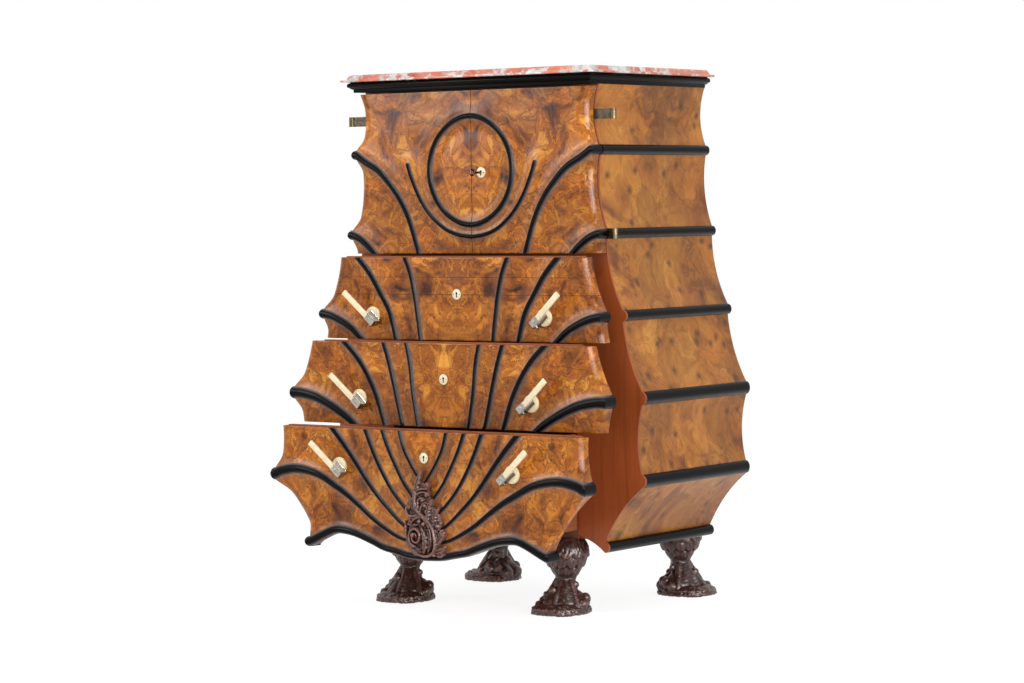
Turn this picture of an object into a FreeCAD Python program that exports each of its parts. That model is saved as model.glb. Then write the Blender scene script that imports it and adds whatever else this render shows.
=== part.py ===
import FreeCAD, Part
import os

import Sketcher

# Bombe chest: a scalloped case with two doors above three drawers, black mouldings, a stone
# top and four paw feet. Millimetres. +X is the chest's left-to-right as seen from the front,
# +Y runs to the back, +Z is up. The origin lies on the floor, under the middle of the whole
# chest with its drawers drawn out as they stand at rest.

# ---------------------------------------------------------------------------------------
# Driving dimensions: name, size, meaning
# ---------------------------------------------------------------------------------------
DRIVING = [
    ("front_plane", -110, "Y of the case's front plane"),
    ("case_depth", 462, "front plane to back face"),
    ("bay_half", 280, "half width between the straight inner walls"),
    ("leg_height", 180, "floor to the underside of the case"),
    ("low_pitch", 266, "underside of the case to the middle of the lower divider"),
    ("middle_pitch", 206, "lower divider to upper divider"),
    ("high_pitch", 207, "upper divider to cupboard floor"),
    ("cupboard_pitch", 404, "cupboard floor to the eaves under the cornice"),
    ("board_thick", 18, "top, floor and dividers"),
    ("base_thick", 20, "bottom board"),
    ("back_thick", 10, "back panel"),
    ("stile_thick", 6, "facing over the front ends of the sides"),
    ("side_land", 332, "half width of the flat underside of the sides"),
    # scalloped outline: half width at each moulding, and how deep each scallop is
    ("half_top", 354, "half width at the eaves"),
    ("half_one", 366.5, "half width over moulding 1"),
    ("half_two", 382.5, "half width over moulding 2"),
    ("half_three", 426.5, "half width over moulding 3"),
    ("half_four", 478, "half width over moulding 4"),
    ("half_five", 475, "half width over moulding 5"),
    ("half_six", 368, "half width over moulding 6"),
    ("up_one", 249, "moulding 1 above the cupboard floor"),
    ("up_two", 50, "moulding 2 above the cupboard floor"),
    ("up_three", 63, "moulding 3 above the upper divider"),
    ("up_four", 75, "moulding 4 above the lower divider"),
    ("up_five", 145, "moulding 5 above the underside of the case"),
    ("down_six", 17, "moulding 6 below the underside of the case"),
    ("tall_one", 24, "height of moulding 1"),
    ("tall_two", 24, "height of moulding 2"),
    ("tall_three", 26, "height of moulding 3"),
    ("tall_four", 32, "height of moulding 4"),
    ("tall_five", 32, "height of moulding 5"),
    ("tall_six", 26, "height of moulding 6"),
    ("proud", 11, "how far the mouldings stand out of the sides"),
    ("sag_top", 14, "scallop depth, eaves to moulding 1"),
    ("sag_one", 12, "scallop depth below moulding 1"),
    ("sag_two", 11, "scallop depth below moulding 2"),
    ("sag_three", 9, "scallop depth below moulding 3"),
    ("sag_four", 12, "scallop depth below moulding 4"),
    ("sag_five", 10, "scallop depth below moulding 5"),
    # lower edge of the front: a belly in the middle, an arch over each front foot
    ("belly_half", 175, "half width of the belly"),
    ("belly_rise", 9, "end of the belly below the underside of the case"),
    ("belly_sag", 36, "depth of the belly"),
    ("arch_sag", 29, "height of the arch over each foot"),
    # cornice and stone
    ("cornice_tall", 26, "height of the cornice"),
    ("fillet_tall", 8, "height of the cornice's lower fillet"),
    ("fillet_half", 358, "half width of the cornice's lower fillet"),
    ("cornice_half", 370, "half width of the cornice's round nose"),
    ("cornice_front", 54, "cornice nose ahead of the front plane"),
    ("cornice_back", 3, "cornice behind the back face"),
    ("lip_tall", 5, "height of the stone's thin lip"),
    ("lip_half", 383, "half width over the stone's lip"),
    ("lip_front", 68, "stone's lip ahead of the front plane"),
    ("lip_back", 7, "stone's lip behind the back face"),
    ("nose_tall", 13, "height of the stone's round nose"),
    ("nose_inset", 16, "stone's nose inside its lip"),
    ("nose_round", 6, "rounding of the stone's nose"),
    # front boards
    ("veneer_face", 34, "face of the front boards ahead of their back plane"),
    ("backing_thick", 16, "backing board behind each drawer's front"),
    ("backing_lip", 3, "backing board above its drawer's front"),
    ("front_gap", 4.5, "gap between drawer fronts"),
    ("door_gap", 8, "gap between the doors and the first drawer"),
    ("eaves_gap", 4.5, "gap between the doors and the cornice"),
    ("door_back_gap", 3.2, "doors' back face to the front plane"),
    ("seam_half", 1, "half of the gap between the doors"),
    ("rib_tall", 8, "how far the ribs stand out of the front boards"),
    # how far each drawer stands open at rest, and its run
    ("open_one", 64, "first drawer's opening at rest"),
    ("open_two", 121, "second drawer's opening at rest"),
    ("open_three", 202, "third drawer's opening at rest"),
    ("box_play", 3, "gap beside a drawer box"),
    ("back_room", 22, "closed drawer box to the back panel"),
    ("box_wall", 12, "thickness of a drawer's sides and back"),
    ("box_bottom", 6, "thickness of a drawer's bottom"),
    ("bottom_raise", 3, "drawer's bottom above the lower edges of its sides"),
    ("run_gap", 0.3, "gap under a drawer box"),
    ("head_gap", 6, "gap over a drawer box"),
    ("close_gap", 0.5, "closed drawer's front to the front plane, left by its stops"),
    ("lock_head", 4, "gap over a drawer lock"),
    ("stop_long", 30, "length of a drawer stop across the chest"),
    ("stop_tall", 20, "height of a drawer stop"),
    ("stop_in", 30, "drawer stops from the bay's inner walls"),
    # ring and U-shaped bead on the doors
    ("ring_half", 125, "half width of the ring's centre line"),
    ("ring_tall", 128, "half height of the ring's centre line"),
    ("ring_up", 206, "ring's centre above the cupboard floor"),
    ("ring_bead", 17, "width of the ring's bead"),
    ("cup_half", 196, "half width of the U-shaped bead"),
    ("cup_up", 229, "tips of the U-shaped bead above the cupboard floor"),
    ("cup_low", 45, "lowest point of the U-shaped bead above the cupboard floor"),
    ("cup_turn", 124, "end of the U-shaped bead's round bottom from the middle"),
    ("cup_turn_up", 98, "end of its round bottom above the cupboard floor"),
    ("cup_bead", 12, "width of the U-shaped bead"),
    ("cup_side_sag", 9, "bulge of the U-shaped bead's sides"),
    ("cup_foot_sag", 14, "bulge of the U-shaped bead's bottom"),
    # hinges
    ("hinge_clear", 14.5, "hinge axis outside moulding 2"),
    ("hinge_high", 333, "upper hinge above the cupboard floor"),
    ("hinge_tall", 24, "height of a hinge"),
    ("hinge_round", 7.5, "radius of a hinge knuckle"),
    ("hinge_leaf", 1.5, "thickness of a hinge leaf"),
    ("hinge_land", 26, "inner end of a hinge leaf outside the bay"),
    ("hinge_neck", 8.5, "knuckle's axis to the full-height leaf"),
    ("hinge_pin", 3, "radius of a hinge pin"),
    ("pin_fit", 0.03, "clearance of a hinge pin"),
    ("ring_gap", 0.2, "gap between a hinge's rings"),
    # door lock and key
    ("key_side", 30, "key's axis from the middle"),
    ("key_up", 200, "key's axis above the cupboard floor"),
    ("key_radius", 2.8, "radius of the key's shank"),
    ("key_play", 0.4, "clearance round the key's shank"),
    ("key_reach", 31, "key's bow ahead of the doors' face"),
    ("key_bow", 7, "radius of the bow's centre line"),
    ("key_wire", 2.5, "radius of the bow's wire"),
    ("plate_round", 13.5, "radius of a key plate"),
    ("plate_thick", 2, "thickness of a key plate"),
    ("lock_wide", 58, "width of the door lock"),
    ("lock_low", 25, "door lock below the key's axis"),
    ("lock_high", 35, "door lock above the key's axis"),
    ("lock_deep", 14, "depth of the door lock"),
    ("lock_wall", 2, "wall of a lock"),
    ("lock_edge", 3, "door lock from the middle of the chest"),
    ("bolt_up", 13, "door lock's bolt above the key's axis"),
    ("bolt_tall", 12, "height of the door lock's bolt"),
    ("bolt_long", 38, "length of the door lock's bolt"),
    ("bolt_thick", 5, "thickness of the door lock's bolt"),
    ("bolt_deep", 5, "front of the door lock's bolt behind the doors' back"),
    ("bolt_play", 0.3, "clearance round a bolt"),
    ("bit_reach", 9, "reach of the key's bit"),
    ("bit_wide", 6, "width of the key's bit"),
    ("bit_thick", 2.4, "thickness of the key's bit"),
    ("keep_wide", 18, "width of the keep on the left door"),
    ("keep_wall", 3, "wall of the keep"),
    ("keep_play", 1, "clearance round the bolt in its keep"),
    ("bolt_travel", 10, "travel of the door lock's bolt"),
    # shoot bolts inside the left door
    ("rod_side", 26, "shoot bolts from the middle"),
    ("rod_back", 8, "shoot bolts behind the front plane"),
    ("rod_radius", 4, "radius of a shoot bolt"),
    ("rod_play", 0.1, "clearance in a shoot bolt's guides"),
    ("rod_hole", 4.6, "radius of the hole a shoot bolt enters"),
    ("rod_long", 130, "length of a shoot bolt"),
    ("rod_rest", 1.5, "gap from a drawn shoot bolt to its board"),
    ("rod_sink", 14, "depth of the hole a shoot bolt enters"),
    ("guide_half", 8, "half width of a shoot bolt's guide"),
    ("guide_tall", 14, "height of a shoot bolt's guide"),
    ("guide_in", 22, "guide from the nearer end of its bolt"),
    ("knob_radius", 5, "radius of a shoot bolt's knob"),
    ("knob_long", 16, "length of a shoot bolt's knob"),
    # drawer locks
    ("case_half", 23, "half width of a drawer lock"),
    ("case_deep", 11, "depth of a drawer lock"),
    ("case_low", 25, "drawer lock below its keyhole"),
    ("key_down_one", 89, "keyhole below the first drawer's top edge"),
    ("key_down_two", 86, "keyhole below the second drawer's top edge"),
    ("key_down_three", 63, "keyhole below the third drawer's top edge"),
    ("tongue_half", 11, "half width of a drawer lock's bolt"),
    ("tongue_thick", 3, "thickness of a drawer lock's bolt"),
    ("tongue_tall", 30, "height of a drawer lock's bolt"),
    ("tongue_front", 4, "front of a drawer lock's bolt behind the backing"),
    ("mortise_deep", 10, "depth of the mortise over a drawer lock"),
    ("mortise_play", 1, "clearance round a bolt in its mortise"),
    ("keyhole", 3.2, "radius of a drawer's keyhole"),
    # handles
    ("handle_side", 260, "handle rose from the middle"),
    ("handle_down_one", 142, "handle below the first drawer's top edge"),
    ("handle_down_two", 137, "handle below the second drawer's top edge"),
    ("handle_down_three", 92, "handle below the third drawer's top edge"),
    ("rose_round", 21.5, "radius of a handle's rose"),
    ("rose_thick", 5, "thickness of a handle's rose"),
    ("stem_round", 5, "radius of a handle's stem"),
    ("stem_long", 19, "rose to bar"),
    ("saddle_half", 9, "half length of the bracket's saddle"),
    ("saddle_wall", 1.5, "wall of the bracket's saddle"),
    ("bar_long", 111, "length of a handle's bar"),
    ("bar_wide", 14, "width of a handle's bar"),
    ("bar_thick", 6, "thickness of a handle's bar"),
    ("bar_heel", 24, "bar's near end behind its stem"),
    ("bar_angle", 42, "degrees the bar rises outwards"),
    # cupboard
    ("shelf_up", 191, "shelf's underside above the cupboard floor"),
    ("shelf_thick", 16, "thickness of the shelf"),
    ("shelf_play", 1, "gap at each end of the shelf"),
    ("shelf_front", 60, "shelf's front edge behind the front plane"),
    ("batten", 20, "width of a shelf batten"),
    ("batten_tall", 16, "height of a shelf batten"),
    # carving on the third drawer
    ("carving_half", 68, "half width of the carving"),
    ("carving_low", 34, "foot of the carving below the underside of the case"),
    ("carving_high", 172, "tip of the carving above the underside of the case"),
    ("carving_wide_up", 30, "widest place of the carving above the underside of the case"),
    ("carving_thick", 32, "thickness of the carving"),
    # feet
    ("foot_front_in", 42, "front feet's axes inside the bay's inner walls"),
    ("foot_front_back", 0, "front feet's axes behind the front plane"),
    ("foot_rear_out", 11, "rear feet's axes outside the bay's inner walls"),
    ("foot_rear_ahead", 27, "rear feet's axes ahead of the back face"),
    ("ankle_round", 23, "radius of the ankle"),
    ("ankle_up", 78, "height of the ankle"),
    ("knee_round", 50, "radius of the knee"),
    ("knee_up", 142, "height of the knee"),
    ("crown_up", 172, "top of the knee"),
    ("cap_half", 26, "half width of the block that carries the case"),
    ("cap_start", 2, "front of that block behind the leg's axis"),
    ("cap_end", 44, "back of that block behind the leg's axis"),
    ("paw_half", 50, "half width of the paw"),
    ("paw_reach", 78, "paw ahead of the leg's axis"),
    ("paw_heel", 42, "heel behind the leg's axis"),
    ("paw_tall", 46, "height of the paw"),
    ("toe_round", 19, "radius of a toe"),
    ("toe_spread", 22, "distance between toes"),
    ("toe_reach", 72, "middle toes ahead of the leg's axis"),
    ("toe_back", 13, "outer toes behind the middle ones"),
]

doc = FreeCAD.newDocument("bombe_chest")
sheet = doc.addObject("Spreadsheet::Sheet", "dims")
for row, (alias, value, meaning) in enumerate(DRIVING, start=1):
    sheet.set("A%d" % row, meaning)
    sheet.set("B%d" % row, str(value))
    sheet.setAlias("B%d" % row, alias)
doc.recompute()


class Size:
    """A length with its value now and the sheet expression that it follows."""

    def __init__(self, value, text):
        self.value = value
        self.text = text

    def __add__(self, other):
        other = as_size(other)
        return Size(self.value + other.value, "(%s + %s)" % (self.text, other.text))

    def __sub__(self, other):
        other = as_size(other)
        return Size(self.value - other.value, "(%s - %s)" % (self.text, other.text))

    def __rsub__(self, other):
        return as_size(other) - self

    def __mul__(self, other):
        other = as_size(other)
        return Size(self.value * other.value, "(%s * %s)" % (self.text, other.text))

    def __truediv__(self, other):
        other = as_size(other)
        return Size(self.value / other.value, "(%s / %s)" % (self.text, other.text))

    def __neg__(self):
        return Size(-self.value, "(0 - %s)" % self.text)

    __radd__ = __add__
    __rmul__ = __mul__


def as_size(value):
    if isinstance(value, Size):
        return value
    return Size(float(value), repr(float(value)))


class Drivers:
    """Each driving dimension of the sheet as a Size."""

    def __getattr__(self, alias):
        return Size(float(sheet.get(alias)), "dims.%s" % alias)


d = Drivers()
ZERO = as_size(0)
LEFT, RIGHT = -1, 1
SIDES = ((LEFT, "left"), (RIGHT, "right"))
Y_AXIS = FreeCAD.Vector(0, 1, 0)
# how far a cutting tool runs past the piece that it cuts
PAST = 1
nodes = []


# ---------------------------------------------------------------------------------------
# Builders
# ---------------------------------------------------------------------------------------
def unique(name):
    """A document name that isn't taken yet."""
    if doc.getObject(name) is None:
        return name
    count = 2
    while doc.getObject("%s_%d" % (name, count)) is not None:
        count += 1
    return "%s_%d" % (name, count)


def place(obj, x=ZERO, y=ZERO, z=ZERO):
    for axis, size in zip("xyz", (x, y, z)):
        obj.setExpression("Placement.Base." + axis, as_size(size).text)
    return obj


def box(name, x, y, z, length, width, height):
    """A block from its lowest corner."""
    obj = doc.addObject("Part::Box", unique(name))
    obj.setExpression("Length", as_size(length).text)
    obj.setExpression("Width", as_size(width).text)
    obj.setExpression("Height", as_size(height).text)
    return place(obj, x, y, z)


def span_box(name, x_range, y_range, z_range):
    """A block between two planes along each axis."""
    lows = [as_size(pair[0]) for pair in (x_range, y_range, z_range)]
    highs = [as_size(pair[1]) for pair in (x_range, y_range, z_range)]
    return box(name, *lows, *[high - low for low, high in zip(lows, highs)])


def mirrored(side, inner, outer):
    """An X range on one side of the chest, low end first."""
    if side == RIGHT:
        return (as_size(inner), as_size(outer))
    return (-as_size(outer), -as_size(inner))


def cylinder(name, x, y, z, radius, height, direction="z"):
    """A round bar from the middle of its lower end, along +X, +Y or +Z."""
    obj = doc.addObject("Part::Cylinder", unique(name))
    obj.setExpression("Radius", as_size(radius).text)
    obj.setExpression("Height", as_size(height).text)
    turns = {"x": ((0, 1, 0), 90), "y": ((1, 0, 0), -90), "z": ((0, 0, 1), 0)}
    axis, angle = turns[direction]
    obj.Placement.Rotation = FreeCAD.Rotation(FreeCAD.Vector(*axis), angle)
    return place(obj, x, y, z)


def fuse(name, shapes):
    obj = doc.addObject("Part::MultiFuse", unique(name))
    obj.Shapes = shapes
    return obj


def cut(name, base, tools):
    tool = tools[0] if len(tools) == 1 else fuse(name + "_tools", tools)
    obj = doc.addObject("Part::Cut", unique(name))
    obj.Base = base
    obj.Tool = tool
    return obj


def common(name, base, tool):
    obj = doc.addObject("Part::Common", unique(name))
    obj.Base = base
    obj.Tool = tool
    return obj


def group(name, links):
    """Separate solids that share one node."""
    obj = doc.addObject("Part::Compound", unique(name))
    obj.Links = links
    return obj


def node(name, obj):
    """Gives an object the name that it is exported by."""
    obj.Label = name
    nodes.append(obj)
    return obj


def turned(name, links, x, y, z, axis, angle):
    """A group turned about an axis through its own origin, then moved."""
    obj = group(name, links)
    obj.Placement.Rotation = FreeCAD.Rotation(axis, 1)
    obj.setExpression("Placement.Rotation.Angle", as_size(angle).text)
    return place(obj, x, y, z)


def plane_of(body, role):
    return next(item for item in body.Origin.OriginFeatures if item.Role == role)


def arc_mid(start, end, sag):
    """The middle of an arc that bulges by sag to the left of the way from start to end."""
    middle = (start + end) * 0.5
    run = end - start
    across = FreeCAD.Vector(-run.y, run.x, 0)
    return middle + across * (sag / across.Length)


def outline_sketch(body, role, corners):
    """A closed sketch. A corner is (x, z, sag of the edge that leaves it, or None)."""
    sketch = body.newObject("Sketcher::SketchObject", unique(body.Name + "_outline"))
    sketch.AttachmentSupport = [(plane_of(body, role), "")]
    sketch.MapMode = "FlatFace"
    points = [FreeCAD.Vector(as_size(x).value, as_size(z).value, 0) for x, z, sag in corners]
    ends = []
    for index, (x, z, sag) in enumerate(corners):
        start, end = points[index], points[(index + 1) % len(corners)]
        if sag is None:
            sketch.addGeometry(Part.LineSegment(start, end))
            ends.append((1, 2))
        else:
            sketch.addGeometry(Part.Arc(start, arc_mid(start, end, sag.value), end))
            # an arc runs counter-clockwise in a sketch, so its ends swap when it bulges left
            ends.append((2, 1) if sag.value > 0 else (1, 2))
    for index, (x, z, sag) in enumerate(corners):
        following = (index + 1) % len(corners)
        sketch.addConstraint(Sketcher.Constraint(
            "Coincident", index, ends[index][1], following, ends[following][0]))
    for index, (x, z, sag) in enumerate(corners):
        point = points[index]
        for kind, size, value in (("DistanceX", x, point.x), ("DistanceY", z, point.y)):
            number = sketch.addConstraint(
                Sketcher.Constraint(kind, -1, 1, index, ends[index][0], value))
            sketch.setExpression("Constraints[%d]" % number, as_size(size).text)
        if sag is not None:
            next_x, next_z, next_sag = corners[(index + 1) % len(corners)]
            run, rise = as_size(next_x) - x, as_size(next_z) - z
            depth = sag if sag.value > 0 else -sag
            radius = (run * run + rise * rise) / (8 * depth) + depth / 2
            number = sketch.addConstraint(Sketcher.Constraint("Radius", index, radius.value))
            sketch.setExpression("Constraints[%d]" % number, radius.text)
    return sketch


def upright_pad(name, corners, y_range):
    """An outline in X and Z, padded from one Y plane to another."""
    body = doc.addObject("PartDesign::Body", unique(name))
    sketch = outline_sketch(body, "XZ_Plane", corners)
    pad = body.newObject("PartDesign::Pad", unique(name + "_pad"))
    pad.Profile = sketch
    pad.Reversed = True
    start, end = as_size(y_range[0]), as_size(y_range[1])
    pad.setExpression("Length", (end - start).text)
    sketch.Visibility = False
    return place(body, y=start)


# ---------------------------------------------------------------------------------------
# Heights, planes and the scalloped outline
# ---------------------------------------------------------------------------------------
z_base = d.leg_height
z_low = z_base + d.low_pitch
z_mid = z_low + d.middle_pitch
z_high = z_mid + d.high_pitch
z_eaves = z_high + d.cupboard_pitch
z_stone = z_eaves + d.cornice_tall
y_front = d.front_plane
y_back = d.front_plane + d.case_depth
y_panel = y_back - d.back_thick
half_board = d.board_thick / 2
box_half = d.bay_half - d.box_play
box_length = d.case_depth - d.back_thick - d.back_room
hinge_out = d.half_two + d.hinge_clear

MOULDINGS = [
    # half width, height above the floor, height of the bead, scallop below it
    (d.half_one, z_high + d.up_one, d.tall_one, d.sag_one),
    (d.half_two, z_high + d.up_two, d.tall_two, d.sag_two),
    (d.half_three, z_mid + d.up_three, d.tall_three, d.sag_three),
    (d.half_four, z_low + d.up_four, d.tall_four, d.sag_four),
    (d.half_five, z_base + d.up_five, d.tall_five, d.sag_five),
    (d.half_six, z_base - d.down_six, d.tall_six, None),
]


def right_edge(capped):
    """The scalloped right edge from the eaves down; capped adds the mouldings' round ends."""
    corners = [(d.half_top, z_eaves, -d.sag_top)]
    for half, z, tall, sag in MOULDINGS:
        ground = half - d.proud
        corners.append((ground, z + tall / 2, d.proud if capped else None))
        corners.append((ground, z - tall / 2, -sag if sag else None))
    return corners


def left_edge(capped):
    """The right edge mirrored, from the lowest corner up."""
    right = right_edge(capped)
    corners = []
    for index in range(len(right) - 1, -1, -1):
        x, z, sag = right[index]
        sag_above = right[index - 1][2] if index else None
        corners.append((-x, z, sag_above))
    return corners


def front_outline(capped=False):
    """The whole front: scalloped sides, belly and foot arches below."""
    right = right_edge(capped)
    left = left_edge(capped)
    turn = z_base - d.belly_rise
    right[-1] = (right[-1][0], right[-1][1], -d.arch_sag)
    lower = [(d.belly_half, turn, d.belly_sag), (-d.belly_half, turn, -d.arch_sag)]
    return right + lower + left


def side_outline(side):
    """One side seen from the front: straight inside, scalloped outside."""
    if side == RIGHT:
        edge = right_edge(False)
        return edge + [(d.side_land, z_base, None), (d.bay_half, z_base, None),
                       (d.bay_half, z_eaves, None)]
    edge = left_edge(False)
    return edge + [(-d.bay_half, z_eaves, None), (-d.bay_half, z_base, None),
                   (-d.side_land, z_base, None)]


# ---------------------------------------------------------------------------------------
# Case
# ---------------------------------------------------------------------------------------
def build_sides():
    for side, word in SIDES:
        body = upright_pad(word + "_side", side_outline(side), (y_front + d.stile_thick, y_back))
        node(word + "_side", body)
    facing = upright_pad("stile_blank", front_outline(True), (y_front, y_front + d.stile_thick))
    bay = span_box("stile_bay", (-d.bay_half, d.bay_half),
                   (y_front - PAST, y_front + d.stile_thick + PAST), (0, z_eaves + PAST))
    node("front_stiles", cut("front_stiles", facing, [bay]))


def build_side_mouldings():
    for side, word in SIDES:
        beads = []
        for half, z, tall, sag in MOULDINGS:
            ground = (half - d.proud) * side
            upper, lower = (ground, z + tall / 2), (ground, z - tall / 2)
            corners = [upper + (d.proud * side,), lower + (None,)]
            beads.append(upright_pad(word + "_bead", corners,
                                     (y_front + d.stile_thick, y_back)))
        node(word + "_mouldings", group(word + "_mouldings", beads))


def case_board(name, z_range):
    """A board between the sides, from the front plane to the back panel."""
    return span_box(name, (-d.bay_half, d.bay_half), (y_front, y_panel), z_range)


def mortise(z_bottom):
    """The hole over a drawer lock, open below, for the closed drawer's bolt."""
    play = d.mortise_play
    front = y_front - d.close_gap + d.tongue_front
    return span_box("mortise", (-d.tongue_half - play, d.tongue_half + play),
                    (front - play, front + d.tongue_thick + play),
                    (z_bottom - PAST, z_bottom + d.mortise_deep))


def rod_socket(z_from, depth):
    return cylinder("rod_socket", -d.rod_side, y_front + d.rod_back, z_from, d.rod_hole, depth)


def build_boards():
    node("back_panel", span_box("back_panel", (-d.bay_half, d.bay_half), (y_panel, y_back),
                                (z_base, z_eaves)))
    node("bottom_board", case_board("bottom_board", (z_base, z_base + d.base_thick)))
    for name, middle in (("lower_divider", z_low), ("upper_divider", z_mid)):
        board = case_board(name + "_blank", (middle - half_board, middle + half_board))
        node(name, cut(name, board, [mortise(middle - half_board)]))
    floor_top = z_high + half_board
    floor = case_board("cupboard_floor_blank", (z_high - half_board, floor_top))
    holes = [mortise(z_high - half_board), rod_socket(floor_top - d.rod_sink, d.rod_sink + PAST)]
    node("cupboard_floor", cut("cupboard_floor", floor, holes))
    top_under = z_eaves - d.board_thick
    top = case_board("top_board_blank", (top_under, z_eaves))
    node("top_board", cut("top_board", top, [rod_socket(top_under - PAST, d.rod_sink + PAST)]))


def build_cupboard_fittings():
    under = z_high + d.shelf_up
    shelf = span_box("cupboard_shelf", (d.shelf_play - d.bay_half, d.bay_half - d.shelf_play),
                     (y_front + d.shelf_front, y_panel), (under, under + d.shelf_thick))
    node("cupboard_shelf", shelf)
    battens = []
    for side, word in SIDES:
        x_range = mirrored(side, d.bay_half - d.batten, d.bay_half)
        battens.append(span_box("batten", x_range, (y_front + d.shelf_front, y_panel),
                                (under - d.batten_tall, under)))
    node("shelf_battens", group("shelf_battens", battens))
    stops = []
    floors = (z_base + d.base_thick, z_low + half_board, z_mid + half_board)
    y_stop = y_front - d.close_gap + box_length
    for z_floor in floors:
        for side, word in SIDES:
            x_stop = d.bay_half - d.stop_in
            x_range = mirrored(side, x_stop - d.stop_long, x_stop)
            stops.append(span_box("stop", x_range, (y_stop, y_panel),
                                  (z_floor, z_floor + d.stop_tall)))
    node("drawer_stops", group("drawer_stops", stops))


def build_cornice():
    """A moulded black board under the stone: a plain fillet below a round nose."""
    nose_low = z_eaves + d.fillet_tall
    step = d.cornice_half - d.fillet_half
    y_nose, y_end = y_front - d.cornice_front, y_back + d.cornice_back
    fillet = span_box("cornice_fillet", (-d.fillet_half, d.fillet_half),
                      (y_nose + step, y_end - d.cornice_back), (z_eaves, nose_low))
    nose = rounded_slab("cornice_nose", (-d.cornice_half, d.cornice_half), (y_nose, y_end),
                        (nose_low, z_stone), d.nose_round)
    node("cornice", fuse("cornice", [fillet, nose]))


def rounded_slab(name, x_range, y_range, z_range, radius):
    """A slab with its long horizontal edges rounded."""
    body = doc.addObject("PartDesign::Body", unique(name))
    corners = [(x_range[0], y_range[0], None), (x_range[1], y_range[0], None),
               (x_range[1], y_range[1], None), (x_range[0], y_range[1], None)]
    sketch = outline_sketch(body, "XY_Plane", corners)
    pad = body.newObject("PartDesign::Pad", unique(name + "_pad"))
    pad.Profile = sketch
    pad.setExpression("Length", (z_range[1] - z_range[0]).text)
    sketch.Visibility = False
    doc.recompute()
    level = []
    for number, edge in enumerate(pad.Shape.Edges, start=1):
        way = edge.tangentAt(edge.FirstParameter)
        if abs(way.z) < 0.5:
            level.append("Edge%d" % number)
    rounding = body.newObject("PartDesign::Fillet", unique(name + "_round"))
    rounding.Base = (pad, level)
    rounding.setExpression("Radius", radius.text)
    return place(body, z=z_range[0])


def build_stone():
    x_lip, y_lip, y_end = d.lip_half, y_front - d.lip_front, y_back + d.lip_back
    lip = span_box("stone_lip", (-x_lip, x_lip), (y_lip, y_end), (z_stone, z_stone + d.lip_tall))
    nose_low = z_stone + d.lip_tall
    nose = rounded_slab("stone_nose", (-x_lip + d.nose_inset, x_lip - d.nose_inset),
                        (y_lip + d.nose_inset, y_end - d.nose_inset / 2),
                        (nose_low - d.lip_tall / 2, nose_low + d.nose_tall), d.nose_round)
    node("stone_top", fuse("stone_top", [lip, nose]))


# ---------------------------------------------------------------------------------------
# Feet
# ---------------------------------------------------------------------------------------
def leg_profile():
    """Half of the leg: ankle, calf, knee and crown, turned about its own axis."""
    return [
        (ZERO, d.paw_tall / 2, None),
        (d.ankle_round, d.paw_tall / 2, None),
        (d.ankle_round, d.ankle_up, (d.knee_round - d.ankle_round) / 6),
        (d.knee_round, d.knee_up, (d.knee_round - d.ankle_round) / -3),
        (ZERO, d.crown_up, None),
    ]


def foot_blank():
    """A paw foot on its own axis, toes towards -Y."""
    body = doc.addObject("PartDesign::Body", unique("leg"))
    sketch = outline_sketch(body, "XZ_Plane", leg_profile())
    turn = body.newObject("PartDesign::Revolution", unique("leg_turning"))
    turn.Profile = sketch
    turn.ReferenceAxis = (sketch, ["V_Axis"])
    turn.Angle = 360
    sketch.Visibility = False
    paw = doc.addObject("Part::Ellipsoid", unique("paw"))
    paw.setExpression("Radius1", d.paw_tall.text)
    paw.setExpression("Radius2", ((d.paw_reach + d.paw_heel) / 2).text)
    paw.setExpression("Radius3", d.paw_half.text)
    paw.Placement.Rotation = FreeCAD.Rotation(FreeCAD.Vector(0, 0, 1), 90)
    place(paw, y=(d.paw_heel - d.paw_reach) / 2)
    toes = []
    for step in (-1.5, -0.5, 0.5, 1.5):
        back = d.toe_back if abs(step) > 1 else ZERO
        toe = doc.addObject("Part::Sphere", unique("toe"))
        toe.setExpression("Radius", d.toe_round.text)
        toes.append(place(toe, d.toe_spread * step, back - d.toe_reach, d.toe_round / 2))
    cap = span_box("cap", (-d.cap_half, d.cap_half), (d.cap_start, d.cap_end),
                   (d.knee_up, d.leg_height))
    whole = fuse("foot_whole", [body, paw, cap] + toes)
    reach = d.paw_reach + d.paw_half + d.toe_round
    under = span_box("foot_under", (-reach, reach), (-reach, reach), (-reach, 0))
    return cut("foot_blank", whole, [under])


def build_feet():
    blank = foot_blank()
    x_front, y_front_axis = d.bay_half - d.foot_front_in, y_front + d.foot_front_back
    x_rear, y_rear_axis = d.bay_half + d.foot_rear_out, y_back - d.foot_rear_ahead
    places = [
        ("left_front_foot", -x_front, y_front_axis, 0),
        ("right_front_foot", x_front, y_front_axis, 0),
        ("left_rear_foot", -x_rear, y_rear_axis, -90),
        ("right_rear_foot", x_rear, y_rear_axis, 90),
    ]
    for name, x, y, angle in places:
        foot = group(name, [blank])
        foot.Placement.Rotation = FreeCAD.Rotation(FreeCAD.Vector(0, 0, 1), angle)
        node(name, place(foot, x, y, 0))


# ---------------------------------------------------------------------------------------
# Front boards and their ribs
# ---------------------------------------------------------------------------------------
def front_board(name, y_range, z_range, x_range=None):
    """A stretch of the scalloped front between two heights."""
    reach = d.half_four + d.proud
    x_range = x_range or (-reach, reach)
    blank = upright_pad(name + "_blank", front_outline(), y_range)
    window = span_box(name + "_window", x_range, (y_range[0] - PAST, y_range[1] + PAST), z_range)
    return common(name + "_board", blank, window)


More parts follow.
